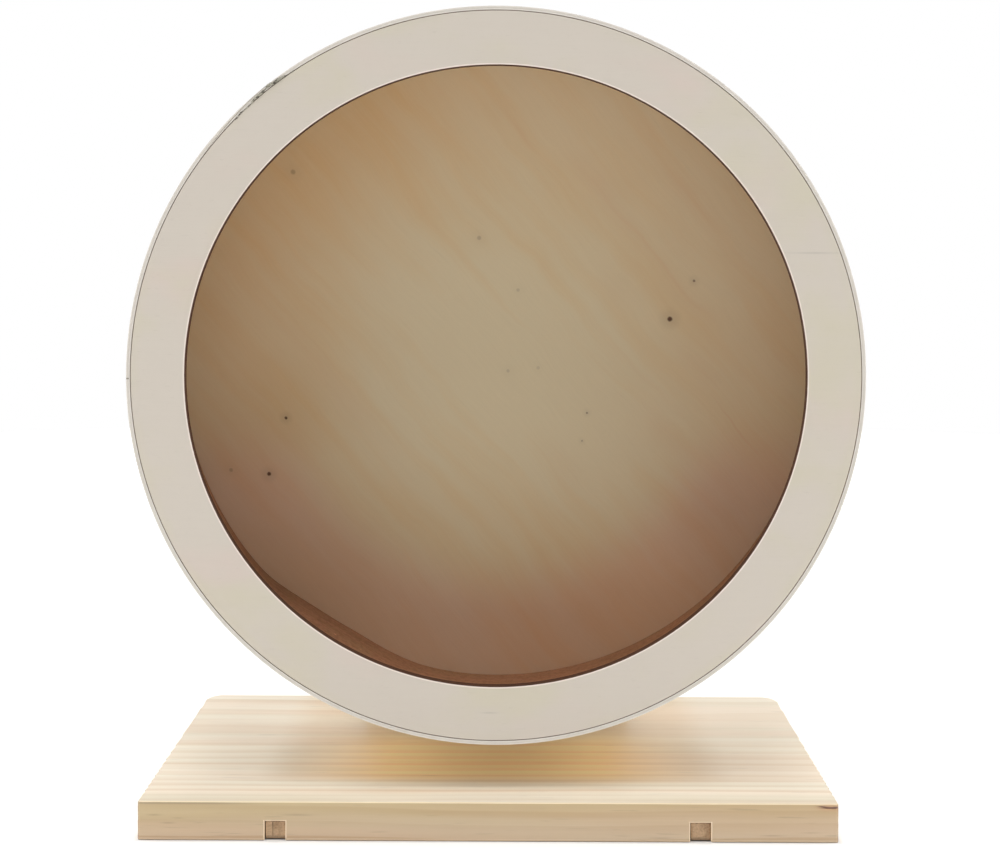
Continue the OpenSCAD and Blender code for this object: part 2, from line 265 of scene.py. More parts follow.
@dataclass
class Shell:
    """A closed surface: its points, and its faces in blocks with equal numbers of corners."""

    points: np.ndarray
    faces: list[np.ndarray]

    @classmethod
    def from_grid(cls, grid: np.ndarray, ends: Ends = Ends.FLAT) -> "Shell":
        """Joins the points of a grid, whose rows are closed loops, into a closed surface.

        Args:
            grid: Points by row and column.
            ends: How the first and last row are closed.

        Returns:
            The surface, with its faces pointing outwards.
        """
        rows, columns = grid.shape[:2]
        loop = np.arange(columns)
        if ends is Ends.POLES:
            points = np.concatenate([grid[1:-1].reshape(-1, 3), grid[0, :1], grid[-1, :1]])
            beside, last = (loop + 1) % columns, (rows - 3) * columns
            pole = np.full(columns, len(points) - 2)
            fans = [np.stack([pole, beside, loop], 1), np.stack([pole + 1, last + loop, last + beside], 1)]
            return cls(points, [grid_quads(rows - 2, columns, False), *fans]).outward()
        caps = [loop[None, ::-1], loop[None] + (rows - 1) * columns] if ends is Ends.FLAT else []
        return cls(grid.reshape(-1, 3), [grid_quads(rows, columns, ends is Ends.JOINED), *caps]).outward()

    def outward(self) -> "Shell":
        """Turns the faces round if the surface holds a negative volume.

        Returns:
            The same surface, with its faces pointing outwards.
        """
        volume = 0.0
        for block in self.faces:
            corner = self.points[block]
            volume += (corner[:, :1] * np.cross(corner[:, 1:-1], corner[:, 2:])).sum()
        if volume < 0:
            self.faces = [block[:, ::-1] for block in self.faces]
        return self

    def mesh(self, name: str) -> bpy.types.Mesh:
        """Makes a mesh of the surface.

        Args:
            name: The mesh's name.

        Returns:
            The mesh.
        """
        mesh = bpy.data.meshes.new(name)
        mesh.from_pydata(self.points.tolist(), [], [face for block in self.faces for face in block.tolist()])
        return mesh


def lathe(r: np.ndarray, y: np.ndarray, columns: int, ends: Ends = Ends.JOINED,
          centre: tuple[float, float] = AXIS, way: Way = Way.Y) -> Shell:
    """Turns an outline round an axis.

    Args:
        r: Radii of the outline's points.
        y: Their places along the axis.
        columns: Steps round the axis.
        ends: JOINED for a closed outline, POLES for one that starts and ends on the axis.
        centre: Where the axis lies.
        way: The axis's direction.

    Returns:
        The turned surface.
    """
    return Shell.from_grid(turned(r[:, None], y[:, None], whole_turn(columns)[None], centre, way), ends)


def prism(corners: np.ndarray, low: float, high: float, ease: float, way: Way) -> Shell:
    """Carries an outline along a straight way, and eases its corners and both ends.

    Near an end the outline is drawn in by e(1 - sin t) at the depth e(1 - cos t), where t
    goes from 0 to a right angle.

    Args:
        corners: Corners across the way, anticlockwise, in the order of the other two axes.
        low: Where it starts along the way.
        high: Where it ends.
        ease: Radius e of the eased edges.
        way: The way it is carried.

    Returns:
        The closed surface.
    """
    inset, depth = ease * DRAWN_IN, ease * FROM_END
    places = np.concatenate([low + depth, high - depth[::-1]])
    across = soften(shrink(corners, np.concatenate([inset, inset[::-1]])), ease)
    along = np.broadcast_to(places[:, None, None], across.shape[:2] + (1,))
    return Shell.from_grid(np.insert(across, [way.value], along, 2))


def bead(path: np.ndarray, side: np.ndarray, up: np.ndarray, radius: np.ndarray) -> Shell:
    """Lays a round bead of varying thickness along a path.

    Args:
        path: Points of its middle line.
        side: Unit vector across the path at each point, or one for all.
        up: Unit vector square to both, likewise.
        radius: Radius at each point.

    Returns:
        The closed surface, with flat ends.
    """
    turn = whole_turn(10)[None, :, None]
    side, up = (np.broadcast_to(way, path.shape)[:, None] for way in (side, up))
    return Shell.from_grid(path[:, None] + (side * np.cos(turn) + up * np.sin(turn)) * radius[:, None, None])


@dataclass(frozen=True)
class Extent:
    """Where a construction piece lies: its box, and how near and far it is from the drum's axis."""

    low: np.ndarray
    high: np.ndarray
    inner: float
    outer: float

    @classmethod
    def of(cls, node: str) -> "Extent":
        """Measures one construction piece.

        Args:
            node: Its name.

        Returns:
            Its extent.
        """
        mesh = frame["nodes"][node].data
        flat = np.empty(len(mesh.vertices) * 3, np.float32)
        mesh.vertices.foreach_get("co", flat)
        points = flat.reshape(-1, 3).astype(float)
        reach = np.hypot(points[:, 0] - AXIS[0], points[:, 2] - AXIS[1])
        return cls(points.min(0), points.max(0), float(reach.min()), float(reach.max()))

    @property
    def half(self) -> np.ndarray:
        """Half the box's width, depth and height."""
        return (self.high - self.low) / 2

    def corners(self, u: int, v: int) -> np.ndarray:
        """Gives the four corners of the box's face across two of its axes, in order."""
        (a, b), (c, d) = (self.low[[u, v]], self.high[[u, v]])
        return np.array([[a, b], [c, b], [c, d], [a, d]])


def tint(*screen: int) -> Colour:
    """Turns a screen colour, 0 to 255, into the light that it stands for."""
    shares = (level / 255 for level in screen)
    return tuple(c / 12.92 if c <= 0.04045 else ((c + 0.055) / 1.055) ** 2.4 for c in shares)


@dataclass(frozen=True)
class Wire:
    """A value that varies over a surface. Sums and products of wires add math nodes."""

    recipe: "Recipe"
    socket: bpy.types.NodeSocket

    def __add__(self, other: "Wire | float") -> "Wire":
        """Adds two values."""
        return self.recipe.math("ADD", self, other)

    def __sub__(self, other: "Wire | float") -> "Wire":
        """Takes one value from another."""
        return self.recipe.math("SUBTRACT", self, other)

    def __rsub__(self, other: float) -> "Wire":
        """Takes the value from a number."""
        return self.recipe.math("SUBTRACT", other, self)

    def __mul__(self, other: "Wire | float") -> "Wire":
        """Multiplies two values."""
        return self.recipe.math("MULTIPLY", self, other)

    def __abs__(self) -> "Wire":
        """Gives the value without its sign."""
        return self.recipe.math("ABSOLUTE", self)

    __radd__ = __add__
    __rmul__ = __mul__

    def most(self, other: "Wire") -> "Wire":
        """Gives the greater of two values."""
        return self.recipe.math("MAXIMUM", self, other)

    def step(self, low: float, high: float) -> "Wire":
        """Turns the value into a share that climbs smoothly from 0 to 1.

        Args:
            low: The value that gives 0.
            high: The value that gives 1. It may be the lesser one.

        Returns:
            The share.
        """
        if low > high:
            return 1.0 - self.step(high, low)
        return self.recipe.node("MapRange", {0: self, 1: low, 2: high}, interpolation_type="SMOOTHSTEP")


class Recipe:
    """One material, put together node by node on the colour so far."""

    def __init__(self, name: str, colour: Colour) -> None:
        """Starts the material with a colour, and with places in object coordinates.

        Args:
            name: The material's name.
            colour: Its first colour.
        """
        self.colour: "Wire | Colour" = colour
        self.material = bpy.data.materials.new(name)
        self.material.use_nodes = True
        self.tree = self.material.node_tree
        self.shader = self.tree.nodes["Principled BSDF"]
        self.place = self.node("TexCoord", out="Object")
        self.x, self.y, self.z = (self.node("SeparateXYZ", {0: self.place}, way.value) for way in Way)
        self.out = self.vector("SUBTRACT", self.place, (AXIS[0], 0.0, AXIS[1]))
        self.right, self.up = self.x - AXIS[0], self.z - AXIS[1]
        self.reach = self.vector("LENGTH", self.vector("MULTIPLY", self.out, (1.0, 0.0, 1.0)), out="Value")

    def feed(self, socket: bpy.types.NodeSocket, value: object) -> None:
        """Links a wire to a socket, or sets a constant on it.

        Args:
            socket: The socket.
            value: The wire, or the constant.
        """
        if isinstance(value, Wire):
            self.tree.links.new(value.socket, socket)
        elif isinstance(value, tuple) and len(socket.default_value) == 4:
            socket.default_value = (*value, 1.0)
        else:
            socket.default_value = value

    def node(self, kind: str, inputs: dict | None = None, out: str | int = 0, **settings: object) -> Wire:
        """Adds a shader node.

        Args:
            kind: Its type, without the prefix.
            inputs: Values of its sockets, by name or number.
            out: Name or number of the output that is wanted.
            **settings: Its other settings.

        Returns:
            The output as a wire.
        """
        made = self.tree.nodes.new("ShaderNode" + kind)
        for key, value in settings.items():
            setattr(made, key, value)
        for key, value in (inputs or {}).items():
            self.feed(made.inputs[key], value)
        return Wire(self, made.outputs[out])

    def math(self, operation: str, a: "Wire | float", b: "Wire | float" = 0.0) -> Wire:
        """Adds a math node on one or two values."""
        return self.node("Math", {0: a, 1: b}, operation=operation)

    def vector(self, operation: str, a: Wire, b: "Wire | Place" = (0.0, 0.0, 0.0),
               out: str = "Vector") -> Wire:
        """Adds a vector math node."""
        return self.node("VectorMath", {0: a, 1: b}, out, operation=operation)

    def facing(self, way: Way) -> Wire:
        """Gives how squarely the surface faces along a direction, from -1 to 1."""
        return self.node("SeparateXYZ", {0: self.node("TexCoord", out="Normal")}, way.value)

    def noise(self, scale: "float | Place | np.ndarray", detail: float, rough: float = 0.5,
              warp: float = 0.0, at: Wire | None = None) -> Wire:
        """Gives smooth noise from 0 to 1 about 0.5.

        Args:
            scale: Lumps to the metre, one number or one for each direction.
            detail: How many finer layers it has.
            rough: How strong they are.
            warp: How far it is distorted.
            at: The place, if not the surface's own.

        Returns:
            The noise.
        """
        place = self.vector("MULTIPLY", at or self.place, tuple(np.broadcast_to(scale, 3) * 1.0))
        inputs = {"Vector": place, "Scale": 1.0, "Detail": detail, "Roughness": rough, "Distortion": warp}
        return self.node("TexNoise", inputs)

    def blend(self, share: Wire, a: "Wire | Colour", b: "Wire | Colour", kind: str = "MIX") -> Wire:
        """Mixes two colours by a share that varies, kept between 0 and 1."""
        return self.node("Mix", {0: share, 6: a, 7: b}, 2, data_type="RGBA", blend_type=kind)

    def paint(self, share: Wire, colour: "Wire | Colour") -> None:
        """Mixes another colour into the colour so far."""
        self.colour = self.blend(share, self.colour, colour)

    def dye(self, share: Wire, factor: "Wire | Colour") -> None:
        """Multiplies the colour so far, where the share is 1, by another."""
        self.colour = self.blend(share, self.colour, factor, "MULTIPLY")

    def shade(self, factor: Wire) -> None:
        """Makes the colour so far brighter or darker."""
        self.colour = self.node("VectorMath", {0: self.colour, "Scale": factor}, "Vector", operation="SCALE")

    def done(self, rough: "Wire | float", height: Wire | None = None, depth: float = 0.0, metal: float = 0.0,
             gloss: float = 0.5, ior: float = 1.5) -> bpy.types.Material:
        """Feeds the shader and returns the material.

        Args:
            rough: Roughness.
            height: Relief, in units of the depth.
            depth: Depth of one unit of relief.
            metal: 1 for a metal.
            gloss: Specular level.
            ior: Refractive index.

        Returns:
            The finished material.
        """
        values = {"Base Color": self.colour, "Roughness": rough, "Metallic": metal,
                  "Specular IOR Level": gloss, "IOR": ior}
        if height:
            values["Normal"] = self.node("Bump", {"Strength": 1.0, "Distance": depth, "Height": height})
        for name, value in values.items():
            self.feed(self.shader.inputs[name], value)
        return self.material


@dataclass(frozen=True)
class Streak:
    """A soft streak, in millimetres: its middle, its length and width, and how strong it is."""

    x: float
    z: float
    length: float
    width: float
    depth: float


def streaked(streaks: tuple[Streak, ...], along: Wire, across: Wire,
             grain: tuple[float, float] = (1.0, 0.0)) -> Wire:
    """Sums streaks. Each is a bell along it times a bell across it: exp(-u^2 - v^2).

    Args:
        streaks: The streaks.
        along: Place along the grain.
        across: Place across the grain.
        grain: The grain's direction in x and z.

    Returns:
        Their strength at each place.
    """
    cos, sin = grain
    total = 0.0
    for streak in streaks:
        u = (along - (streak.x * cos + streak.z * sin) * MM) * (1 / (streak.length * MM))
        v = (across - (streak.z * cos - streak.x * sin) * MM) * (1 / (streak.width * MM))
        total = total + along.recipe.math("EXPONENT", 0.0 - (u * u + v * v)) * streak.depth
    return total


@dataclass(frozen=True)
class Spot:
    """A dark spot, or with a negative depth a pale one, placed in millimetres from the drum's axis."""

    x: float
    z: float
    radius: float
    depth: float
    y: float = 0.0

    def away(self, mix: Recipe, y: float) -> Wire:
        """Gives each place's distance from the spot, when the spot lies at y."""
        return mix.vector("DISTANCE", mix.out, (self.x * MM, y, self.z * MM), "Value")


@dataclass(frozen=True)
class FrontFace:
    """The base board's front face: fine marks; painted highlights on the top arris, as paler rims round the
    two notches and above the foot; painted shade under the left arris, along the foot and at both ends.
    """

    y: float
    half: float
    top: float
    notch_x: float
    notch_half: float
    notch_top: float
    split: Streak = Streak(131.5, 13.6, 3.0, 0.3, 1.3)
    marks: tuple[Streak, ...] = (
        Streak(133.9, 13.75, 1.4, 0.34, 0.9), Streak(128.6, 14.1, 1.8, 0.22, 0.9),
        Streak(-73.5, 10.0, 5.0, 0.4, 0.25), Streak(109.5, 2.7, 4.0, 0.25, 0.3),
        Streak(-128.6, 9.8, 2.5, 0.35, 0.28), Streak(-123.2, 6.7, 2.5, 0.3, 0.28),
        Streak(-119.3, 8.6, 2.0, 0.25, 0.2), Streak(124.4, 3.9, 3.5, 0.25, 0.2),
        Streak(66.5, 1.6, 4.0, 0.3, 0.25),
    )
    glow: Streak = Streak(131.5, 13.6, 4.2, 1.05, 0.7)
    # Colour of the painted highlights round the notches and above the foot
    highlight_cream: Colour = tint(236, 212, 178)
    arris_highlight: Colour = tint(242, 224, 190)
    # Colour of the painted shade under the arris, along the foot and at the ends
    brown: Colour = tint(98, 64, 38)
    rift: Colour = tint(92, 42, 2)
    amber: Colour = tint(196, 132, 78)
    olive: Colour = (0.98, 0.98, 0.84)
    pink: Colour = (1.02, 1.02, 1.09)

    def paint(self, mix: Recipe) -> Wire:
        """Paints the face onto the colour so far.

        Args:
            mix: The material that it belongs to.

        Returns:
            How deep the marks go.
        """
        x, z, side = mix.x, mix.z, abs(mix.x)
        front = mix.y.step(self.y + 0.9 * MM, self.y + 0.4 * MM)
        sway = z - x * 0.015 + (mix.noise((16, 0, 60), 1) - 0.5) * (7 * MM)
        mix.dye(sway.step(self.top * 0.5, self.top * 0.85) * front, self.olive)
        mix.dye(sway.step(self.top * 0.55, self.top * 0.2) * front, self.pink)
        # Painted highlights: a pale rim round each notch where its eased edges catch the light, and a pale
        # band just above the foot
        rim = (abs(side - self.notch_x) - self.notch_half).most(z - self.notch_top).step(0.6 * MM, 0.3 * MM)
        foot_light = z.step(1.2 * MM, 0.7 * MM)
        mix.paint((rim * 0.9).most(foot_light * 0.35) * front, self.highlight_cream)
        # Painted highlight along the top arris
        arris = z.step(self.top - 0.4 * MM, self.top - 0.2 * MM)
        mix.paint(arris * front * 0.8, self.arris_highlight)
        mix.paint(streaked((self.glow,), x, z) * front, self.amber)
        left_end = x.step(-80 * MM, -110 * MM)
        # Painted shade: under the arris at the left end, a contact shade along the foot, and dark lines along
        # both ends
        under = z.step(self.top - 1.4 * MM, self.top - 0.6 * MM) * (1.0 - arris) * left_end * 0.4
        foot = z.step(0.32 * MM, 0.14 * MM) * 0.75
        ends = side.step(self.half - 0.5 * MM, self.half - 0.22 * MM) * front * 0.8
        mix.paint(foot.most(ends).most(under * front), self.brown)
        crack = streaked((self.split, *self.marks), x, z) * front
        mix.paint(crack, self.rift)
        return crack


@dataclass(frozen=True)
class PaintedTopLight:
    """Painted light and shade on the base's top: paler colours where it faces up, honey shade under the drum,
    browner shade beside that, duller shade along the front.
    """

    # Paler than the sides' own colours: painted light from above, with its sheen
    early: Colour = tint(242, 233, 214)
    late: Colour = tint(223, 206, 177)
    front: float = -58 * MM
    rear: float = 30 * MM
    # Painted warm shade under the front part of the drum
    honey: Colour = (1.25, 1.06, 0.69)
    # Painted shade beside the drum's shadow
    fringe: Colour = (0.94, 0.875, 0.79)
    # Painted shade under the rear part of the drum
    dull: Colour = (0.86, 0.84, 0.77)
    # Painted light at the outer sides and just behind the middle of the front
    lit_tint: Colour = (1.1, 1.1, 1.11)
    # Painted shade along the front strip, away from the middle
    strip: Colour = (0.86, 0.83, 0.77)

    def paint(self, mix: Recipe) -> None:
        """Paints the top's painted light and shade onto the colour so far.

        Args:
            mix: The material that it belongs to.
        """
        x, y = abs(mix.right), mix.y
        back = y.step(self.front, self.front + 18 * MM)
        tone = mix.blend(y.step(self.rear - 40 * MM, self.rear), self.honey, self.dull)
        mix.dye(x.step(90 * MM, 40 * MM) * back, tone)
        mix.dye(x.step(36 * MM, 60 * MM) * x.step(98 * MM, 78 * MM) * back, self.fringe)
        outer = x.step(80 * MM, 102 * MM) * back * y.step(12 * MM, -12 * MM)
        edge = y.step(self.front - 6 * MM, self.front - 16 * MM)
        lip = x.step(55 * MM, 20 * MM) * y.step(self.front + 6 * MM, self.front - 4 * MM) * (1.0 - edge)
        mix.dye(outer.most(lip), self.lit_tint)
        mix.dye(edge * x.step(30 * MM, 80 * MM), self.strip)


@dataclass(frozen=True)
class Pine:
    """Pine cut from a trunk: growth rings round a far-off pith, with fibres along the grain.

    The rings are drawn in the solid, so that each face shows its own cut through them.
    """

    name: str
    grain: Way
    pith: Place
    ring: float
    rough: float = 0.45
    gloss: float = 0.4
    ior: float = 1.5
    early: Colour = tint(214, 192, 158)
    late: Colour = tint(190, 155, 110)
    end_dark: Colour = tint(150, 116, 78)
    end_pale: Colour = tint(226, 196, 150)
    rosy: Colour = (1.0, 0.95, 0.93)
    wander: float = 5.0 * MM
    lean: float = 0.03
    top_light: PaintedTopLight | None = None
    face: FrontFace | None = None

    def make(self) -> bpy.types.Material:
        """Makes the material.

        Returns:
            The finished material.
        """
        mix = Recipe(self.name, self.early)
        grain = np.eye(3)[self.grain.value]
        across = 1.0 - grain
        out = mix.vector("MULTIPLY", mix.vector("SUBTRACT", mix.place, self.pith), tuple(across))
        wander = (mix.noise(grain * 5 + across * 22, 2) - 0.5) * self.wander
        phase = (mix.vector("LENGTH", out, out="Value") + wander) * (1 / self.ring)
        turn = mix.math("FRACT", phase)
        year = mix.node("TexWhiteNoise", {"W": mix.math("FLOOR", phase)}, "Value", noise_dimensions="1D")
        late = turn.step(0.25, 0.85) * turn.step(1.0, 0.9) * (0.25 + 0.75 * year)
        fibre = mix.noise(grain * 28 + across * 1500, 3, 0.6)
        resin = mix.noise(grain * 55 + across * 1100, 1).step(0.68, 0.78)
        share = late * 0.8 + mix.noise(grain * 6 + across * 210, 2).step(0.45, 0.75) * 0.3
        mix.paint(share, self.late)
        # Painted light: faces that look up take paler colours and the painted top light and shade
        if self.top_light:
            below, mix.colour = mix.colour, mix.blend(share, self.top_light.early, self.top_light.late)
            self.top_light.paint(mix)
            mix.colour = mix.blend(mix.facing(Way.Z).step(0.4, 0.9), below, mix.colour)
        climb = mix.vector("ADD", mix.place, mix.node("CombineXYZ", {2: mix.x * self.lean}))
        mix.dye(mix.noise(grain * 3 + across * 75, 1, at=climb).step(0.4, 0.6), self.rosy)
        end = abs(mix.facing(self.grain)).step(0.6, 0.85)
        pores = mix.noise(1900, 1)
        mix.paint(end, mix.blend(pores - late * 0.4, self.end_dark, self.end_pale))
        mix.shade(1.05 - 0.1 * fibre - resin * 0.14)
        height = late * 0.5 + fibre * 0.5 - resin * 0.4 + end * pores
        if self.face:
            height = height - self.face.paint(mix) * 0.3
        return mix.done(self.rough + 0.16 * fibre, height, 0.09 * MM, gloss=self.gloss, ior=self.ior)


@dataclass(frozen=True)
class DiscVeneer:
    """The rear disc's veneer: diagonal grain with a soft wavy figure, warm streaks and pin knots, with
    painted light at its centre and painted shade towards its rim and lower part.
    """

    face_y: float
    slope: float = -49.0
    pale: Colour = tint(229, 216, 180)
    honey: Colour = tint(227, 194, 137)
    rust: Colour = tint(215, 158, 101)
    heart: Colour = tint(88, 56, 38)
    # Painted shade for the disc's lower outer part
    rosy: Colour = (1.01, 0.89, 0.97)
    # Painted light: honey towards the rim for light bounced off the cork, and paler at the centre where
    # direct light falls
    painted_light_zones: tuple[Streak, ...] = (
        Streak(-90, 85, 45, 90, 0.5), Streak(22, -15, 62, 62, -0.4), Streak(-97, -22, 30, 30, 0.4),
    )
    # Painted shade: darker patches low on the disc, mostly at the lower left
    shade_spots: tuple[Streak, ...] = (
        Streak(100, -71, 26, 26, 0.09), Streak(-80, -92, 36, 36, 0.09), Streak(-97, -30, 26, 26, 0.04),
    )
    streaks: tuple[Streak, ...] = (
        Streak(44, 82, 18, 5.0, 0.17), Streak(62, 58, 26, 3.5, 0.13), Streak(70, 49, 34, 0.8, 0.10),
        Streak(88, 29, 14, 3.0, 0.09), Streak(88, 71, 24, 4.0, 0.13), Streak(53, 34, 10, 5.0, 0.11),
        Streak(92, -4, 16, 5.0, 0.13), Streak(76, -34, 14, 5.0, 0.13), Streak(64, -4, 26, 1.5, 0.08),
        Streak(107, -31, 16, 0.6, 0.22), Streak(-70, -15, 40, 5.0, 0.13), Streak(28, -46, 14, 5.0, 0.09),
        Streak(10, 103, 10, 1.2, 0.12),
    )
    knots: tuple[Spot, ...] = (
        Spot(77.3, 19.1, 1.3, 1.0), Spot(-94.9, -25.9, 0.8, 1.0), Spot(-102.5, -51.1, 1.0, 1.0),
        Spot(88.0, 36.2, 0.7, 0.7), Spot(40.3, -23.2, 0.55, 0.6), Spot(38.1, -35.8, 0.5, 0.5),
        Spot(-8.3, 55.2, 1.1, 0.3), Spot(-91.7, 84.5, 1.3, 0.35), Spot(9.2, 31.9, 0.9, 0.2),
        Spot(4.8, -4.4, 0.9, 0.22), Spot(18.3, -3.0, 0.9, 0.16), Spot(-119.6, -49.4, 1.0, 0.3),
    )

    def make(self) -> bpy.types.Material:
        """Makes the material.

        Returns:
            The finished material.
        """
        mix = Recipe("disc_veneer", self.pale)
        grain = cos, sin = math.cos(math.radians(self.slope)), math.sin(math.radians(self.slope))
        sway = (mix.noise(14, 2) - 0.5) * (16 * MM) + (mix.noise((70, 40, 70), 2) - 0.5) * (3 * MM)
        along, across = mix.right * cos + mix.up * sin, mix.up * cos - mix.right * sin + sway
        sheet = mix.node("CombineXYZ", {0: along, 1: across, 2: mix.y})
        figure = mix.noise((7, 85, 30), 3, 0.55, at=sheet)
        fibre = mix.noise((45, 1300, 30), 2, 0.6, at=sheet)
        cloud = mix.noise((11, 18, 11), 2, at=sheet)
        warmth = figure.step(0.35, 0.75) * 0.3 + cloud.step(0.35, 0.75) * 0.25
        # Honey from the figure and cloud, plus the painted light zones
        mix.paint(warmth + streaked(self.painted_light_zones, along, across, grain), self.honey)
        rust = streaked(self.streaks, along, across, grain) * (0.4 + 0.8 * figure)
        mix.paint(figure.step(0.6, 0.85) * 0.05 + rust, self.rust)
        # Painted shade: the disc's lower outer part is dyed darker and pinker
        mix.dye(mix.up.step(-20 * MM, -60 * MM) * mix.reach.step(85 * MM, 115 * MM), self.rosy)
        front = mix.y.step(self.face_y + 1 * MM, self.face_y + 0.5 * MM)
        dark = fibre.step(0.72, 0.8) * 0.08 + streaked(self.shade_spots, along, across, grain)
        spot = 0.0
        for knot in self.knots:
            away, radius = knot.away(mix, self.face_y), knot.radius * MM
            core = (away + (fibre - 0.5) * (0.6 * MM)).step(radius * 1.15, radius * 0.5)
            spot = spot + core * (0.95 * knot.depth) * front
            dark = dark + away.step(radius * 5, radius) * (0.1 * knot.depth) * front
        mix.shade((1.02 - 0.06 * fibre) * (1.0 - dark))
        mix.paint(spot, self.heart)
        return mix.done(0.55 + 0.15 * fibre, fibre * 0.4 + figure * 0.3 - dark - spot, 0.12 * MM, gloss=0.3)


@dataclass(frozen=True)
class RingVeneer:
    """The front ring's pale veneer, with its edges charred by the cutting beam and a painted highlight just
    outside the mouth's char.
    """

    mouth_r: float
    rim_r: float
    pale: Colour = tint(208, 199, 187)
    rosy: Colour = tint(211, 197, 186)
    straw: Colour = tint(207, 199, 180)
    mouth_highlight: Colour = tint(244, 230, 219)
    char: Colour = tint(62, 38, 28)
    scorch: Colour = tint(88, 56, 38)
    ply: float = 0.67 * MM
    flecks: tuple[Streak, ...] = (Streak(124, 48.9, 9, 0.35, 0.5), Streak(-2, -132.3, 3, 0.3, 0.5))

    def make(self) -> bpy.types.Material:
        """Makes the material.

        Returns:
            The finished material.
        """
        mix = Recipe("ring_veneer", self.pale)
        fibre = mix.noise((40, 600, 1200), 3, 0.6)
        pore = mix.noise((260, 900, 2600), 1).step(0.7, 0.8)
        patch = mix.noise((22, 22, 34), 3, at=mix.vector("ADD", mix.place, (3.0, 1.0, 2.0)))
        mix.paint(mix.noise((16, 16, 26), 3).step(0.5, 0.72), self.rosy)
        mix.paint(patch.step(0.48, 0.75), self.straw)
        halo = mix.reach.step(self.rim_r - 5 * MM, self.rim_r - 1 * MM) * patch.step(0.35, 0.6)
        mix.paint(halo * 0.5, self.straw)
        mix.shade(1.012 - 0.025 * fibre - pore * 0.05 - streaked(self.flecks, mix.right, mix.up) * 0.3)
        ragged = mix.reach + (fibre - 0.5) * (0.1 * MM)
        # Painted highlight: a pale line just outside the mouth's charred edge, where its chamfer catches the
        # light
        mix.paint(ragged.step(self.mouth_r + 1.0 * MM, self.mouth_r + 0.45 * MM) * 0.85, self.mouth_highlight)
        mouth = ragged.step(self.mouth_r + 0.34 * MM, self.mouth_r + 0.14 * MM)
        rim = ragged.step(self.rim_r - 0.34 * MM, self.rim_r - 0.12 * MM)
        burnt = mix.noise((1500, 160, 1500), 2)
        layer = mix.math("PINGPONG", mix.y, self.ply) * (1 / self.ply)
        mix.paint(mouth.most(rim * 0.8), mix.blend(burnt * 0.6 + layer * 0.3, self.char, self.scorch))
        return mix.done(0.6 + 0.1 * fibre, fibre * 0.5 - pore * 0.5 + mouth * burnt, 0.06 * MM, gloss=0.3)


@dataclass(frozen=True)
class BandPly:
    """The bent band's thin plywood: pale, fibres across the band, with three plies in its edges."""

    inner: float
    outer: float
    front_y: float
    joint: float
    joint_half: float = 11.5
    tick: float = 179.6
    face: Colour = tint(184, 172, 152)
    face_warm: Colour = tint(177, 158, 129)
    edge: Colour = tint(222, 216, 207)
    ply: Colour = tint(203, 195, 183)
    dirt: Colour = tint(122, 114, 100)

    def make(self) -> bpy.types.Material:
        """Makes the material.

        Returns:
            The finished material.
        """
        mix = Recipe("band_ply", self.face)
        fibre = mix.noise((1100, 24, 1100), 3, 0.6)
        lines = mix.noise((240, 7, 240), 2, 0.6)
        pore = mix.noise((2200, 150, 2200), 1).step(0.7, 0.8)
        broad = mix.noise((38, 5, 38), 3, 0.55)
        mix.paint(broad.step(0.35, 0.75) * 0.7 + lines.step(0.5, 0.8) * 0.4, self.face_warm)
        plies = mix.math("PINGPONG", (mix.reach - self.inner) * (2 / (self.outer - self.inner)), 1.0)
        core = plies.step(0.45, 0.7) * (0.2 + 0.8 * mix.noise(160, 2))
        mix.paint(abs(mix.facing(Way.Y)).step(0.5, 0.8), mix.blend(core, self.edge, self.ply))
        joint, near, far = np.radians([self.joint, self.joint_half - 3, self.joint_half])
        towards = (math.cos(joint), 0.0, -math.sin(joint))
        close = mix.vector("DOT_PRODUCT", mix.vector("NORMALIZE", mix.out), towards, "Value")
        front = mix.y.step(self.front_y + 0.5 * MM, self.front_y + 0.2 * MM)
        grime = mix.noise(330, 3, 0.7).step(0.5, 0.62) * close.step(math.cos(far), math.cos(near)) * front
        cos, sin = math.cos(math.radians(self.tick)), math.sin(math.radians(self.tick))
        radial, tangent = mix.right * cos - mix.up * sin, mix.right * sin + mix.up * cos
        root = radial.step(self.inner + 0.3 * MM, self.inner + 0.5 * MM)
        short = root * radial.step(self.outer, self.outer - 0.3 * MM)
        mix.paint(grime.most(abs(tangent).step(0.32 * MM, 0.16 * MM) * short * front) * 0.85, self.dirt)
        mix.shade(1.04 - 0.08 * fibre - pore * 0.1)
        return mix.done(0.58 + 0.12 * fibre, fibre * 0.6 + lines * 0.4 - pore * 0.5, 0.08 * MM, gloss=0.3)


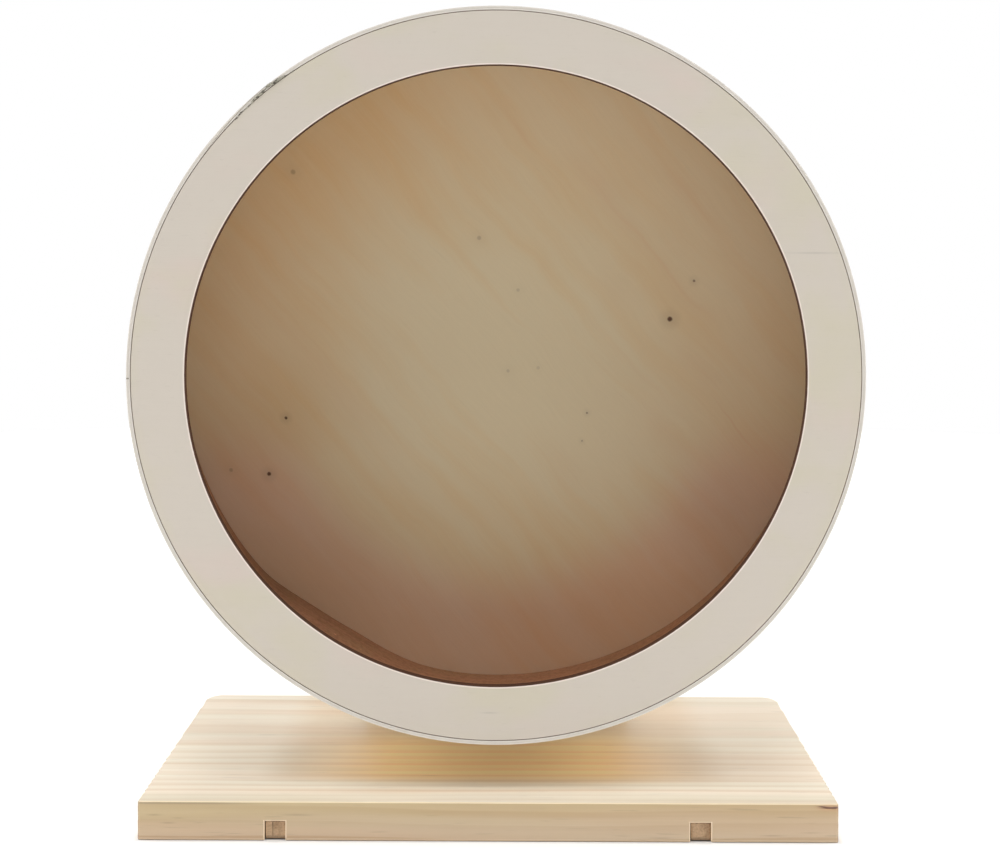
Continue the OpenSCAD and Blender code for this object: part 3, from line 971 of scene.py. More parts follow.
@dataclass(frozen=True)
class CorkSheet:
    """Fine-grained brown cork: pressed granules of several browns, with dark flecks between them; painted
    shade deep in the drum and painted light near its mouth.
    """

    front_y: float
    rear_y: float
    granules: float = 520.0
    pale: Colour = tint(213, 162, 131)
    mid: Colour = tint(198, 145, 115)
    dark: Colour = tint(131, 89, 67)
    worn: Colour = tint(178, 140, 102)
    # Colour of the painted shade deep in the drum
    corner_shade: Colour = tint(164, 126, 92)
    rosy: Colour = tint(216, 168, 144)
    mossy: Colour = tint(182, 154, 112)
    joint: Streak = Streak(-97, -101, 34, 34, 0.24)
    spots: tuple[Spot, ...] = (
        Spot(-73.6, -118.4, 0.9, 0.6, 32.4), Spot(-90.2, -106.2, 0.9, 0.6, 32.4),
        Spot(-101.0, -99.0, 0.7, 0.5, 32.6), Spot(-70.2, -118.0, 1.0, -0.5, 10.0),
        Spot(-59.4, -125.0, 0.8, -0.4, 10.0),
    )

    def make(self) -> bpy.types.Material:
        """Makes the material.

        Returns:
            The finished material.
        """
        mix = Recipe("cork_sheet", self.mid)
        fine = mix.vector("MULTIPLY", mix.place, (self.granules,) * 3)
        cells = {"Vector": mix.vector("ADD", fine, mix.noise(300, 2) * 0.8), "Scale": 1.0}
        gap = mix.node("TexVoronoi", cells, "Distance").step(0.42, 0.75)
        lot = mix.node("SeparateColor", {0: mix.node("TexVoronoi", cells, "Color")})
        fleck = mix.noise(900, 2).step(0.64, 0.72)
        run = mix.noise((24, 330, 24), 3, 0.6)
        moss = mix.noise((85, 60, 85), 2, at=mix.vector("ADD", mix.place, (5.0, 2.0, 7.0)))
        mix.paint(lot * 0.6 + mix.noise((45, 30, 45), 3) * 0.5, self.pale)
        mix.paint(run.step(0.42, 0.68) * 0.6, self.worn)
        mix.paint(moss.step(0.5, 0.66) * 0.45, self.mossy)
        deep, near = (mix.y + (run - 0.5) * (sway * MM) for sway in (30, 20))
        # Painted shade: darker towards the rear, where the track meets the disc
        mix.paint(deep.step(self.rear_y - 60 * MM, self.rear_y) * 0.6, self.corner_shade)
        # Painted light: paler and pinker towards the front, near the mouth
        mix.paint(near.step(self.front_y + 30 * MM, self.front_y) * 0.6, self.rosy)
        mix.paint((gap * 0.25).most(fleck * 0.6), self.dark)
        tone = 1.03 - streaked((self.joint,), mix.right, mix.up)
        for spot in self.spots:
            away, radius = spot.away(mix, spot.y * MM), spot.radius * MM
            tone = tone - away.step(radius, radius * 0.4) * spot.depth
        mix.shade(tone)
        return mix.done(0.72 + 0.15 * lot, lot * 0.5 - gap * 0.6 - fleck, 0.16 * MM, gloss=0.25)


@dataclass(frozen=True)
class PlyStack:
    """Plywood seen from its edge: plies in turn along and across, with dark glue lines between."""

    name: str
    front_y: float
    ply: float = 1.3 * MM
    long_grain: Colour = tint(214, 190, 152)
    end_grain: Colour = tint(176, 142, 102)

    def make(self) -> bpy.types.Material:
        """Makes the material.

        Returns:
            The finished material.
        """
        mix = Recipe(self.name, self.long_grain)
        depth = (mix.y - self.front_y) * (1 / self.ply)
        glue = abs(mix.math("FRACT", depth + 0.5) - 0.5).step(0.1, 0.04)
        fibre = mix.noise((300, 1500, 300), 3, 0.6)
        mix.paint(mix.math("PINGPONG", depth, 1.0).step(0.45, 0.55), self.end_grain)
        mix.shade(1.06 - 0.14 * fibre - glue * 0.35)
        return mix.done(0.6 + 0.12 * fibre, fibre - glue, 0.08 * MM, gloss=0.3)


@dataclass(frozen=True)
class Zinc:
    """Bright zinc plate: a faint blue and straw cloud, and fine scratches from handling."""

    name: str = "zinc_plate"
    cool: Colour = (0.60, 0.62, 0.66)
    warm: Colour = (0.68, 0.66, 0.60)

    def make(self) -> bpy.types.Material:
        """Makes the material.

        Returns:
            The finished material.
        """
        mix = Recipe(self.name, self.cool)
        cloud = mix.noise(420, 3)
        scratch = mix.noise((9000, 700, 2500), 2, 0.7)
        mix.paint(cloud.step(0.35, 0.65), self.warm)
        return mix.done(0.24 + 0.2 * cloud + 0.08 * scratch, scratch, 0.01 * MM, metal=1.0)


@dataclass(frozen=True)
class GroundSteel:
    """Ground bearing steel, with fine turned lines round the axis."""

    bare: Colour = (0.66, 0.66, 0.68)
    oiled: Colour = (0.55, 0.54, 0.52)
    lines: float = 9000.0

    def make(self) -> bpy.types.Material:
        """Makes the material.

        Returns:
            The finished material.
        """
        mix = Recipe("ground_steel", self.bare)
        line = mix.noise(self.lines, 2, 0.7, at=mix.node("CombineXYZ", {0: mix.reach}))
        film = mix.noise(240, 2)
        mix.paint(film, self.oiled)
        return mix.done(0.12 + 0.12 * film + 0.06 * line, line, 0.006 * MM, metal=1.0)


@dataclass(frozen=True)
class Moulded:
    """Moulded plastic with a fine matt texture and faint flow marks."""

    name: str
    colour: Colour
    worn: Colour

    def make(self) -> bpy.types.Material:
        """Makes the material.

        Returns:
            The finished material.
        """
        mix = Recipe(self.name, self.colour)
        mix.paint(mix.noise((500, 180, 500), 2, warp=1.0), self.worn)
        fine = mix.noise(6000, 2)
        return mix.done(0.38 + 0.14 * fine, fine, 0.01 * MM)


@dataclass(frozen=True)
class DriedGlue:
    """Dried wood glue: amber where thick, with dust in it."""

    name: str
    clear: Colour = tint(212, 190, 146)
    dusty: Colour = tint(168, 146, 112)
    grit: float = 800.0

    def make(self) -> bpy.types.Material:
        """Makes the material.

        Returns:
            The finished material.
        """
        mix = Recipe(self.name, self.clear)
        dust = mix.noise(self.grit, 3, 0.6)
        mix.paint(dust.step(0.4, 0.62), self.dusty)
        return mix.done(0.22 + 0.3 * dust, dust, 0.05 * MM)


@dataclass(frozen=True)
class BattenWood:
    """A darker sawn batten, whose end shows open pores and saw marks, with painted shadow along its ragged
    top and painted shade at its foot.
    """

    pale: Colour = tint(208, 176, 142)
    dark: Colour = tint(150, 119, 88)
    top: float = 7.5 * MM

    def make(self) -> bpy.types.Material:
        """Makes the material.

        Returns:
            The finished material.
        """
        mix = Recipe("batten_wood", self.pale)
        pores = mix.noise((1500, 60, 1500), 3, 0.7)
        bands = mix.noise((420, 8, 130), 2)
        saw = mix.noise((140, 200, 1800), 1)
        mix.paint(bands.step(0.3, 0.7) * 0.6 + pores.step(0.4, 0.7) * 0.4, self.dark)
        # Painted shadow under the groove's top along a ragged edge, and painted shade at the foot
        top_shadow = (mix.z + (pores - 0.5) * (0.9 * MM)).step(self.top - 0.75 * MM, self.top - 0.35 * MM)
        foot_shade = (mix.z + (bands - 0.5) * (1.6 * MM)).step(2.0 * MM, 0.4 * MM)
        mix.shade((1.08 - 0.16 * saw) * (1.0 - top_shadow * 0.45 - foot_shade * 0.45))
        return mix.done(0.7 + 0.1 * pores, pores + saw, 0.12 * MM, gloss=0.25)


def make_object(name: str, shell: Shell) -> bpy.types.Object:
    """Makes a surface into an object of the scene.

    Args:
        name: The object's name.
        shell: The surface.

    Returns:
        The object.
    """
    piece = bpy.data.objects.new(name, shell.mesh(name))
    bpy.context.scene.collection.objects.link(piece)
    return piece


def drill(piece: bpy.types.Object, tools: list[Shell]) -> None:
    """Cuts holes into a piece.

    Args:
        piece: What is drilled.
        tools: The space that each hole takes away.
    """
    cutters = [make_object("drill_bit", tool) for tool in tools]
    for cutter in cutters:
        cut = piece.modifiers.new("hole", "BOOLEAN")
        cut.operation, cut.solver, cut.object = "DIFFERENCE", "EXACT", cutter
    bpy.context.view_layer.update()
    whole = piece.data
    piece.data = bpy.data.meshes.new_from_object(piece.evaluated_get(bpy.context.evaluated_depsgraph_get()))
    piece.modifiers.clear()
    bpy.data.meshes.remove(whole)
    for cutter in cutters:
        bpy.data.meshes.remove(cutter.data)


def fit(name: str, shell: Shell, body: Body, slot: Slot, finish: bpy.types.Material, *nodes: str,
        holes: list[Shell] | None = None) -> None:
    """Makes a surface into a finished piece, which rides on its body.

    Args:
        name: The piece's name.
        shell: Its surface.
        body: The body that it moves with.
        slot: The record's slot that the piece stands in; not used.
        finish: Its material.
        *nodes: The construction pieces that it stands for.
        holes: The space that its holes take away.
    """
    piece = make_object(name, shell)
    if holes:
        drill(piece, holes)
    piece.data.shade_smooth()
    piece.data.set_sharp_from_angle(angle=CREASE)
    piece.data.materials.clear()
    piece.data.materials.append(finish)
    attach(piece, body.value)
    if nodes:
        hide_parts(*nodes)
    stands_for = ", ".join(nodes) or "itself"
    log.info("%s: %d faces, on %s, for %s", name, len(piece.data.polygons), body.value, stands_for)


def dress(finish: bpy.types.Material, *nodes: str) -> None:
    """Gives construction pieces that keep their shape a finish.

    Args:
        finish: Its material.
        *nodes: Their names.
    """
    for name in nodes:
        node = frame["nodes"][name]
        if not node.material_slots:
            node.data.materials.append(finish)
        for held in node.material_slots:
            held.material = finish
        log.info("%s: keeps its shape, in %s", name, finish.name)


def flat_ring(node: str, ease: float, columns: int) -> Shell:
    """Turns a flat ring with eased edges in the place of a construction piece."""
    box = Extent.of(node)
    return lathe(*eased_loop(box.inner, box.outer, box.low[1], box.high[1], ease), columns)


@dataclass
class Stand:
    """The base board with its battens, the upright, and the batten in their corner."""

    ease: float = 0.4 * MM
    ripple: float = 0.45 * MM
    ripple_reach: float = 1.2 * MM
    ripple_fade: float = 4 * MM
    station: float = 0.7 * MM
    front_corner: float = 0.7 * MM
    rear_corner: float = 8 * MM
    groove_width: float = 8 * MM
    groove_height: float = 7.5 * MM
    groove_inset: float = 53 * MM
    batten_ease: float = 0.12 * MM
    crack_ease: float = 0.03 * MM
    still_zone: float = 100 * MM
    pith: Place = (0.0, 34 * MM, -96 * MM)
    ring: float = 3.9 * MM
    screw_sink: float = 0.5 * MM
    hole_room: float = 0.05 * MM
    past: float = 2 * MM

    def build(self) -> None:
        """Builds and dresses every piece of the stand."""
        board, batten = Extent.of("base_board"), Extent.of("corner_batten")
        face = FrontFace(board.low[1], board.high[0], board.high[2], board.high[0] - self.groove_inset,
                         self.groove_width / 2, self.groove_height)
        base_pine = Pine("base_pine", Way.X, self.pith, self.ring, 0.3, 1.0, 1.6, tint(199, 175, 137),
                         tint(182, 150, 106), top_light=PaintedTopLight(), face=face).make()
        upright_pine = Pine("upright_pine", Way.Z, (-70 * MM, 150 * MM, 0.0), 3.6 * MM).make()
        corner_pine = Pine("corner_pine", Way.X, (0.0, 90 * MM, -20 * MM), 2.8 * MM).make()
        batten_wood = BattenWood().make()
        cuts = [*self.countersinks("upright_screws", 0.0, 1.0), self.drying_split(board)]
        fit("stand_base", self.base(board), Body.STAND, Slot.PINE, base_pine, "base_board", holes=cuts)
        cuts = [self.bolt_hole()]
        fit("stand_upright", self.upright(), Body.STAND, Slot.PINE, upright_pine, "upright_board", holes=cuts)
        square = prism(batten.corners(1, 2), batten.low[0], batten.high[0], self.ease, Way.X)
        cuts = self.countersinks("corner_batten_screws", batten.high[2], -1.0)
        fit("stand_corner_batten", square, Body.STAND, Slot.PINE, corner_pine, "corner_batten", holes=cuts)
        for node, crack in (("groove_batten_left", 0.36), ("groove_batten_right", 0.0)):
            fit("stand_" + node, self.groove_batten(node, crack), Body.STAND, Slot.BATTEN, batten_wood, node)
        fit("stand_glue_bead", self.glue_bead(batten), Body.STAND, Slot.PINE, DriedGlue("stand_glue").make())

    def base(self, board: Extent) -> Shell:
        """Carries the base's cross-section from front to rear.

        At a distance s from an end with corner radius R the half width is
        W - R + sqrt(R^2 - (R - s)^2), and the edges are drawn in by e - sqrt(e^2 - (e - s)^2).
        The two side faces follow the growth rings: late wood stands a little proud.

        Args:
            board: The base board's box.

        Returns:
            The closed surface, with the two grooves in its underside.
        """
        half, thick = board.half[0], board.high[2] - board.low[2]
        near, far = (half - self.groove_inset + side * self.groove_width / 2 for side in (-1, 1))
        notch = [[near, 0], [near, self.groove_height], [far, self.groove_height], [far, 0]]
        mirrored = [[-x, z] for x, z in notch[::-1]]
        corners = np.array([[half, 0], [half, thick], [-half, thick], [-half, 0], *mirrored, *notch])
        front, rear, arc = board.low[1], board.high[1], 1 - np.cos(np.linspace(0, np.pi / 2, 9))
        even = np.arange(self.rear_corner, rear - front - self.rear_corner, self.station)
        stations = [front + self.front_corner * arc, front + self.ease * arc[::2], front + even,
                    rear - self.rear_corner * arc, rear - self.ease * arc[::2]]
        y = np.unique(np.round(np.concatenate(stations), 7))
        y = np.concatenate([y[:1], y, y[-1:]])
        from_front, from_rear = y - front, rear - y

        def lost(distance: np.ndarray, radius: float) -> np.ndarray:
            """How much a quarter circle takes away at a distance from its end."""
            return radius - np.sqrt(np.maximum(radius**2 - np.maximum(radius - distance, 0) ** 2, 0))

        width = half - lost(from_front, self.front_corner) - lost(from_rear, self.rear_corner)
        inset = lost(from_front, self.ease) + lost(from_rear, self.ease)
        inset[[0, -1]] *= 2
        right, left, steps = 6, 20, 18
        outlines = divide(divide(soften(shrink(corners, inset), self.ease), left, steps), right, steps)
        x, z, still = outlines[..., 0], outlines[..., 1], self.still_zone
        stretch = ((width - still) / (half - still))[:, None]
        x = np.sign(x) * (np.minimum(np.abs(x), still) + np.maximum(np.abs(x) - still, 0) * stretch)
        y = np.broadcast_to(y[:, None], x.shape)
        waver = 0.4 * MM * relief(y, 9 * MM, 5, z + np.sign(x))
        turns = np.mod((np.hypot(y - self.pith[1], z - self.pith[2]) + waver) / self.ring, 1.0)
        recess = (1 - np.clip(turns / 0.85, 0, 1) * np.clip((1 - turns) / 0.1, 0, 1)) * self.ripple
        at_side = np.clip(1 - (width[:, None] - np.abs(x)) / self.ripple_reach, 0, 1)
        away_from_ends = np.clip(np.minimum(from_front, from_rear) / self.ripple_fade, 0, 1)[:, None]
        x = x - np.sign(x) * recess * at_side * away_from_ends
        return Shell.from_grid(np.stack([x, y, z + board.low[2]], -1))

    def drying_split(self, board: Extent) -> Shell:
        """Gives the short split in the base's front, near its right end.

        Seen from the front it runs down from the left and turns up again, as a cosine, and its
        width swells and thins as a half sine.

        Args:
            board: The base board's box.

        Returns:
            The space that the split takes away.
        """
        share, start, length, depth, sway = np.linspace(0, 1, 25), 7.6, 6.5, 1.3, 0.35
        x = board.high[0] - (start - length * share) * MM
        z = board.high[2] - (depth - sway * np.cos(share * 4.2)) * MM
        thin, swell = 0.05, 0.24
        radius = (thin + swell * np.sin(share * np.pi) ** 0.7) * MM
        return bead(np.stack([x, np.full_like(x, board.low[1] + 0.02 * MM), z], 1), TO_REAR, UP, radius)

    def upright(self) -> Shell:
        """Carries the upright's outline from front to rear.

        Its sides are tangents to its round head. With the foot f beside the axis, the rise h and
        the radius r they touch it at the angle acos(r / sqrt(f^2 + h^2)) - atan(h / f).

        Returns:
            The closed surface.
        """
        box = Extent.of("upright_board")
        foot, rise, radius = box.half[0], AXIS[1] - box.low[2], box.high[2] - AXIS[1]
        touch = math.atan2(-rise, foot) + math.acos(radius / math.hypot(foot, rise))
        turn = np.linspace(touch, math.pi - touch, 41)
        head = np.stack([AXIS[0] + radius * np.cos(turn), AXIS[1] + radius * np.sin(turn)], 1)
        feet = [[AXIS[0] - foot, box.low[2]], [AXIS[0] + foot, box.low[2]]]
        return prism(np.concatenate([feet, head]), box.low[1], box.high[1], self.ease, Way.Y)

    def bolt_hole(self) -> Shell:
        """Gives the hole for the axle bolt through the upright.

        Returns:
            The space that it takes away.
        """
        box, r = Extent.of("upright_board"), Extent.of("rear_washer").inner
        front, rear = box.low[1] - self.past, box.high[1] + self.past
        return lathe(np.array([0, r, r, 0]), np.array([front, front, rear, rear]), 48, Ends.POLES)

    def groove_batten(self, node: str, crack: float) -> Shell:
        """Carries a groove batten's outline from front to rear.

        Args:
            node: The construction piece that it stands for.
            crack: Where a narrow drying crack runs down it, as a share of its width, or 0.

        Returns:
            The closed surface.
        """
        box = Extent.of(node)
        corners, top, foot = box.corners(0, 2), box.high[2], box.low[2] + 0.9 * MM
        if crack:
            x, mouth, root = box.low[0] + crack * (box.high[0] - box.low[0]), 0.14 * MM, 0.06 * MM
            slit = [[x + mouth, top], [x + root, foot], [x - root, foot], [x - mouth, top]]
            corners = np.insert(corners, [3], slit, 0)
        return prism(corners, box.low[1], box.high[1], self.crack_ease if crack else self.batten_ease, Way.Y)

    def countersinks(self, node: str, face: float, into: float) -> list[Shell]:
        """Gives the holes that show above the heads of a row of screws.

        Args:
            node: The row of screws, whose outer heads end its box.
            face: Height of the wood's face.
            into: 1 if the screws point up from it, -1 if they point down.

        Returns:
            One cutting shape for each screw.
        """
        box = Extent.of(node)
        head, deep = box.half[1], 1.2 * MM
        room, floor = head + self.hole_room, self.screw_sink + deep
        middles = [box.low[0] + head, box.high[0] - head]
        if node == "upright_screws":
            middles.insert(1, AXIS[0])
        r = np.array([0, room, room, room - deep, 0])
        z = face + into * np.array([-self.past, -self.past, self.screw_sink, floor, floor])
        y = (box.low[1] + box.high[1]) / 2
        return [lathe(r, z, 40, Ends.POLES, (x, y), Way.Z) for x in middles]

    def glue_bead(self, batten: Extent) -> Shell:
        """Lays the glue that was squeezed out along the front foot of the corner batten.

        Args:
            batten: The corner batten's box.

        Returns:
            The closed surface.
        """
        x = np.linspace(batten.low[0] + 1 * MM, batten.high[0] - 1 * MM, 240)
        lumps = relief(x, 7 * MM, 11) * 0.3 + relief(x, 2.2 * MM, 12) * 0.15
        path = np.stack([x, np.full_like(x, batten.low[1]), np.full_like(x, batten.low[2])], 1)
        return bead(path, TO_REAR, UP, np.maximum(0.38 + lumps, 0.08) * MM)


@dataclass
class AxleSet:
    """The axle bolt with its spacer, washers and self-locking nut."""

    across_flats: float = 13 * MM
    face_height: float = 0.5 * MM
    face_r: float = 5.8 * MM
    shank_r: float = 3.975 * MM
    pitch: float = 1.25 * MM
    thread_depth: float = 0.62 * MM
    thread_length: float = 22 * MM
    thread_rows: int = 200
    tip_chamfer: float = 0.8 * MM
    collar_h: float = 1.6 * MM
    collar_r: float = 6.1 * MM
    seat_r: float = 5.2 * MM
    seat_depth: float = 2 * MM
    bore_r: float = 4 * MM
    columns: int = 72

    def build(self) -> None:
        """Builds and dresses every piece on the axle."""
        zinc = Zinc().make()
        pieces = (("axle_bolt_threaded", self.bolt(), "axle_bolt"), ("axle_lock_nut", self.nut(), "lock_nut"),
                  ("axle_spacer_tube", flat_ring("axle_spacer", 0.25 * MM, self.columns), "axle_spacer"),
                  ("axle_front_washer", flat_ring("front_washer", 0.3 * MM, self.columns), "front_washer"),
                  ("axle_rear_washer", flat_ring("rear_washer", 0.3 * MM, self.columns), "rear_washer"))
        for name, shell, node in pieces:
            fit(name, shell, Body.STAND, Slot.ZINC, zinc, node)
        dress(Moulded("nylon_insert", tint(30, 72, 150), tint(44, 92, 172)).make(), "lock_nut_insert")
        dress(zinc, "upright_screws", "corner_batten_screws")

    def hexagon(self, angle: np.ndarray) -> np.ndarray:
        """Gives a hexagon's reach: half its width over the cosine of the angle from a side's middle."""
        return self.across_flats / 2 / np.cos(np.mod(angle, np.pi / 3) - np.pi / 6)

    def corner(self, box: Extent) -> tuple[float, float]:
        """Gives a radius just outside a hexagon's corners, and the depth of the chamfer that reaches it."""
        widen = box.outer - self.across_flats / 2 + 0.1 * MM
        return self.across_flats / 2 + widen, widen * math.tan(math.radians(30))

    def bolt(self) -> Shell:
        """Turns the bolt: a chamfered hexagon head, a plain shank and a threaded end.

        The thread's depth at height y and angle a is a triangle wave of y / pitch - a / 2pi.
        The head's chamfer widens by 1 / tan 30 degrees for each step back from its front.

        Returns:
            The closed surface.
        """
        box, seat, rows = Extent.of("axle_bolt"), Extent.of("front_inner_race").low[1], self.thread_rows
        front, end, face = box.low[1], box.high[1], seat - self.face_height
        start, half, shank = end - self.thread_length, self.across_flats / 2, self.shank_r
        wide, chamfer = self.corner(box)
        plain = [(0, front), (half * 0.6, front), (half * 0.97, front), (half, front),
                 (wide, front + chamfer), (wide, face), (half, face), (self.face_r, face),
                 (self.face_r, seat), (shank, seat), (shank, start - 1 * MM)]
        thread = np.stack([np.full(rows, shank), np.linspace(start, end, rows)], 1)
        limit, y = np.concatenate([plain, thread, [(0, end)]]).T[..., None]
        angle = whole_turn(self.columns)[None]
        radius = np.minimum(limit, self.hexagon(angle))
        wave = np.abs(np.mod(y / self.pitch - angle / (2 * np.pi), 1.0) * 2 - 1)
        fade = np.clip((y - start) / (2 * self.pitch), 0, 1)
        tip = shank - self.tip_chamfer + (end - y)
        cut = np.minimum(radius - wave * fade * self.thread_depth, tip)
        radius = np.where((y >= start) & (limit > 0), cut, radius)
        return Shell.from_grid(turned(radius, y, angle), Ends.POLES)

    def nut(self) -> Shell:
        """Turns the nut: a hexagon with chamfers, a rolled collar, and a stepped bore.

        Returns:
            The closed surface.
        """
        box, half, collar, seat = Extent.of("lock_nut"), self.across_flats / 2, self.collar_r, self.seat_r
        front, back = box.low[1], box.high[1]
        step, deep = back - self.collar_h, back - self.seat_depth
        wide, chamfer = self.corner(box)
        rows = [(self.bore_r + 0.5 * MM, front), (half * 0.96, front), (half, front), (wide, front + chamfer),
                (wide, step - chamfer), (half + 0.05 * MM, step), (collar + 0.25 * MM, step),
                (collar, step + 0.2 * MM), (collar, back - 0.5 * MM), (collar - 0.12 * MM, back - 0.15 * MM),
                (collar - 0.4 * MM, back), (seat + 0.05 * MM, back), (seat, back - 0.1 * MM), (seat, deep),
                (self.bore_r, deep), (self.bore_r, front + 0.5 * MM)]
        limit, y = np.array(rows).T[..., None]
        angle = whole_turn(self.columns)[None]
        return Shell.from_grid(turned(np.minimum(limit, self.hexagon(angle)), y, angle), Ends.JOINED)


@dataclass
class Bearings:
    """The two ball bearings, which keep their exact construction shapes."""

    def build(self) -> None:
        """Dresses every piece of both bearings."""
        steel = GroundSteel().make()
        shield = Zinc("shield_plate", (0.50, 0.50, 0.52), (0.58, 0.57, 0.55)).make()
        cage = Moulded("cage_nylon", tint(104, 66, 40), tint(124, 82, 50)).make()
        for which in ("front", "rear"):
            dress(steel, which + "_inner_race", which + "_outer_race", which + "_balls")
            dress(shield, which + "_shields")
            dress(cage, which + "_ball_cage")


@dataclass
class Hub:
    """The wooden hub behind the drum: a block for the bearings and a ring in front of it."""

    ease: float = 0.5 * MM
    columns: int = 180

    def build(self) -> None:
        """Builds and dresses the hub."""
        block, ring = (flat_ring(node, self.ease, self.columns) for node in ("hub_block", "hub_ring"))
        box = Extent.of("hub_ring")
        pine = Pine("hub_pine", Way.X, (0.0, 120 * MM, 150 * MM), 2.6 * MM).make()
        ply = PlyStack("hub_ply", box.low[1]).make()
        fit("wheel_hub_block", block, Body.WHEEL, Slot.PINE, pine, "hub_block")
        fit("wheel_hub_ring", ring, Body.WHEEL, Slot.PLYWOOD, ply, "hub_ring")
        fit("wheel_hub_glue", self.glue_bead(box), Body.WHEEL, Slot.PLYWOOD, DriedGlue("hub_glue").make())

    def glue_bead(self, box: Extent) -> Shell:
        """Turns the uneven bead of glue where the hub meets the disc.

        Args:
            box: The hub's front ring.

        Returns:
            The closed surface.
        """
        angle, girth, turn = whole_turn(360), 2 * np.pi * box.outer, whole_turn(12)[:, None]
        broad = relief(angle * box.outer, 9 * MM, 21, girth=girth)
        fine = relief(angle * box.outer, 3 * MM, 22, girth=girth)
        thick = 0.55 + 0.3 * broad + 0.12 * fine
        radius = box.outer + np.cos(turn) * thick * MM
        y = box.low[1] + 0.05 * MM + np.maximum(np.sin(turn), -0.1) * thick * MM
        return Shell.from_grid(turned(radius, y, angle), Ends.JOINED)


@dataclass
class Drum:
    """The drum: front ring, bent band with its slanted joint, and rear disc."""

    ease: float = 0.15 * MM
    joint_angle: float = 224.6
    joint_length: float = 40 * MM
    joint_gap: float = 0.08 * MM
    thinnest: float = 0.03 * MM
    sanding: float = 0.04 * MM
    wear: float = 0.02 * MM
    film_depth: float = 0.06 * MM
    film_room: float = 0.09 * MM
    crumbs: tuple[float, float] = (222.0, 238.0)
    crumbs_thickest: float = 231.8
    columns: int = 720

    def build(self) -> None:
        """Builds and dresses the drum."""
        ring, band, disc = (Extent.of(node) for node in ("front_ring", "rim_band", "rear_disc"))
        ring_veneer = RingVeneer(ring.inner, ring.outer).make()
        band_ply = BandPly(band.inner, band.outer, band.low[1], self.joint_angle).make()
        disc_veneer = DiscVeneer(disc.low[1]).make()
        glue = DriedGlue("joint_glue", tint(172, 160, 138), tint(132, 118, 98)).make()
        crumbs = DriedGlue("seam_crumbs", tint(170, 166, 149), tint(62, 56, 46), 1100.0).make()
        flat = flat_ring("front_ring", self.ease, self.columns)
        fit("drum_front_ring", flat, Body.WHEEL, Slot.PLYWOOD, ring_veneer, "front_ring")
        fit("drum_band", self.band(band), Body.WHEEL, Slot.BENT_PLY, band_ply, "rim_band")
        fit("drum_rear_disc", self.disc(disc), Body.WHEEL, Slot.PLYWOOD, disc_veneer, "rear_disc")
        fit("drum_joint_glue", self.joint_glue(band), Body.WHEEL, Slot.BENT_PLY, glue)
        fit("drum_seam_crumbs", self.seam_crumbs(ring), Body.WHEEL, Slot.BENT_PLY, crumbs)
        dress(Zinc("brad_zinc").make(), "rim_brads_front", "rim_brads_rear")

    def disc(self, box: Extent) -> Shell:
        """Turns the rear disc, whose two faces swell and sink a little as plywood does.

        Args:
            box: The disc's box.

        Returns:
            The closed surface.
        """
        rows, rounded, front, rear = 22, slice(6, 18), box.low[1], box.high[1]
        flat = np.linspace(0, box.outer - 1 * MM, rows)
        r, y = eased_loop(0.0, box.outer, front, rear, self.ease)
        r = np.concatenate([flat, r[rounded], flat[::-1]])[:, None]
        y = np.concatenate([np.full(rows, front), y[rounded], np.full(rows, rear)])[:, None]
        angle = whole_turn(360)[None]
        swell = relief(r * np.cos(angle), 55 * MM, 31, r * np.sin(angle)) * 0.5 + 0.5
        fade = np.clip((box.outer - r) / (8 * MM), 0, 1)
        y = y + np.where(y < (front + rear) / 2, 1.0, -1.0) * swell * fade * 0.12 * MM
        return Shell.from_grid(turned(r, y, angle), Ends.POLES)

    def glue_line(self, box: Extent, steps: int) -> tuple[np.ndarray, np.ndarray]:
        """Gives places along the slanted joint, which climbs from the band's inside to its outside.

        Args:
            box: The band's box.
            steps: How many places are wanted.

        Returns:
            Their angles and their radii.
        """
        half = math.degrees(self.joint_length / 2 / box.outer)
        turn = np.linspace(self.joint_angle - half, self.joint_angle + half, steps)
        return turn, np.linspace(box.inner, box.outer, steps)

    def band(self, box: Extent) -> Shell:
        """Carries the band's flat section once round, with its two thinned ends lapped.

        The strip starts under the glue line, at the inside, and ends above it, at the outside.

        Args:
            box: The band's box.

        Returns:
            The closed surface.
        """
        rows, plain, gap, least = 48, self.columns - 1, self.joint_gap / 2, self.thinnest
        lap, line = self.glue_line(box, rows)
        single = np.linspace(lap[-1], lap[0] + 360, plain + 1)[:-1]
        turn = np.concatenate([lap[:-1], single, lap + 360])[:, None]
        outer = [np.maximum(line[:-1] - gap, box.inner + least), np.full(plain + rows, box.outer)]
        inner = [np.full(plain + rows - 1, box.inner), np.minimum(line + gap, box.outer - least)]
        outer, inner = (np.concatenate(side)[:, None] for side in (outer, inner))
        place = np.radians(turn) * box.outer
        sanded = self.sanding * (1 + relief(place, 12 * MM, 41))
        r, y = eased_loop(inner, outer, box.low[1], box.high[1], np.minimum(self.ease, (outer - inner) / 5))
        y = y + np.where(y < 0, sanded, -sanded)
        worn = self.wear * (1 + relief(place, 16 * MM, 42, y)) * (r > box.outer - 0.5 * MM)
        return Shell.from_grid(turned(np.minimum(r, box.outer - worn), y, np.radians(turn)))

    def joint_glue(self, box: Extent) -> Shell:
        """Carries the thin film of glue along the band's slanted joint, a little below its edges.

        Args:
            box: The band's box.

        Returns:
            The closed surface.
        """
        turn, line = (values[:, None] for values in self.glue_line(box, 60))
        thin, sunk = self.joint_gap / 2, self.film_depth
        low = np.maximum(line - thin, box.inner)
        high = np.minimum(line + thin, box.outer - self.film_room)
        r, y = eased_loop(low, high, box.low[1] + sunk, box.high[1] - sunk, (high - low) / 6)
        return Shell.from_grid(turned(r, y, np.radians(turn)))

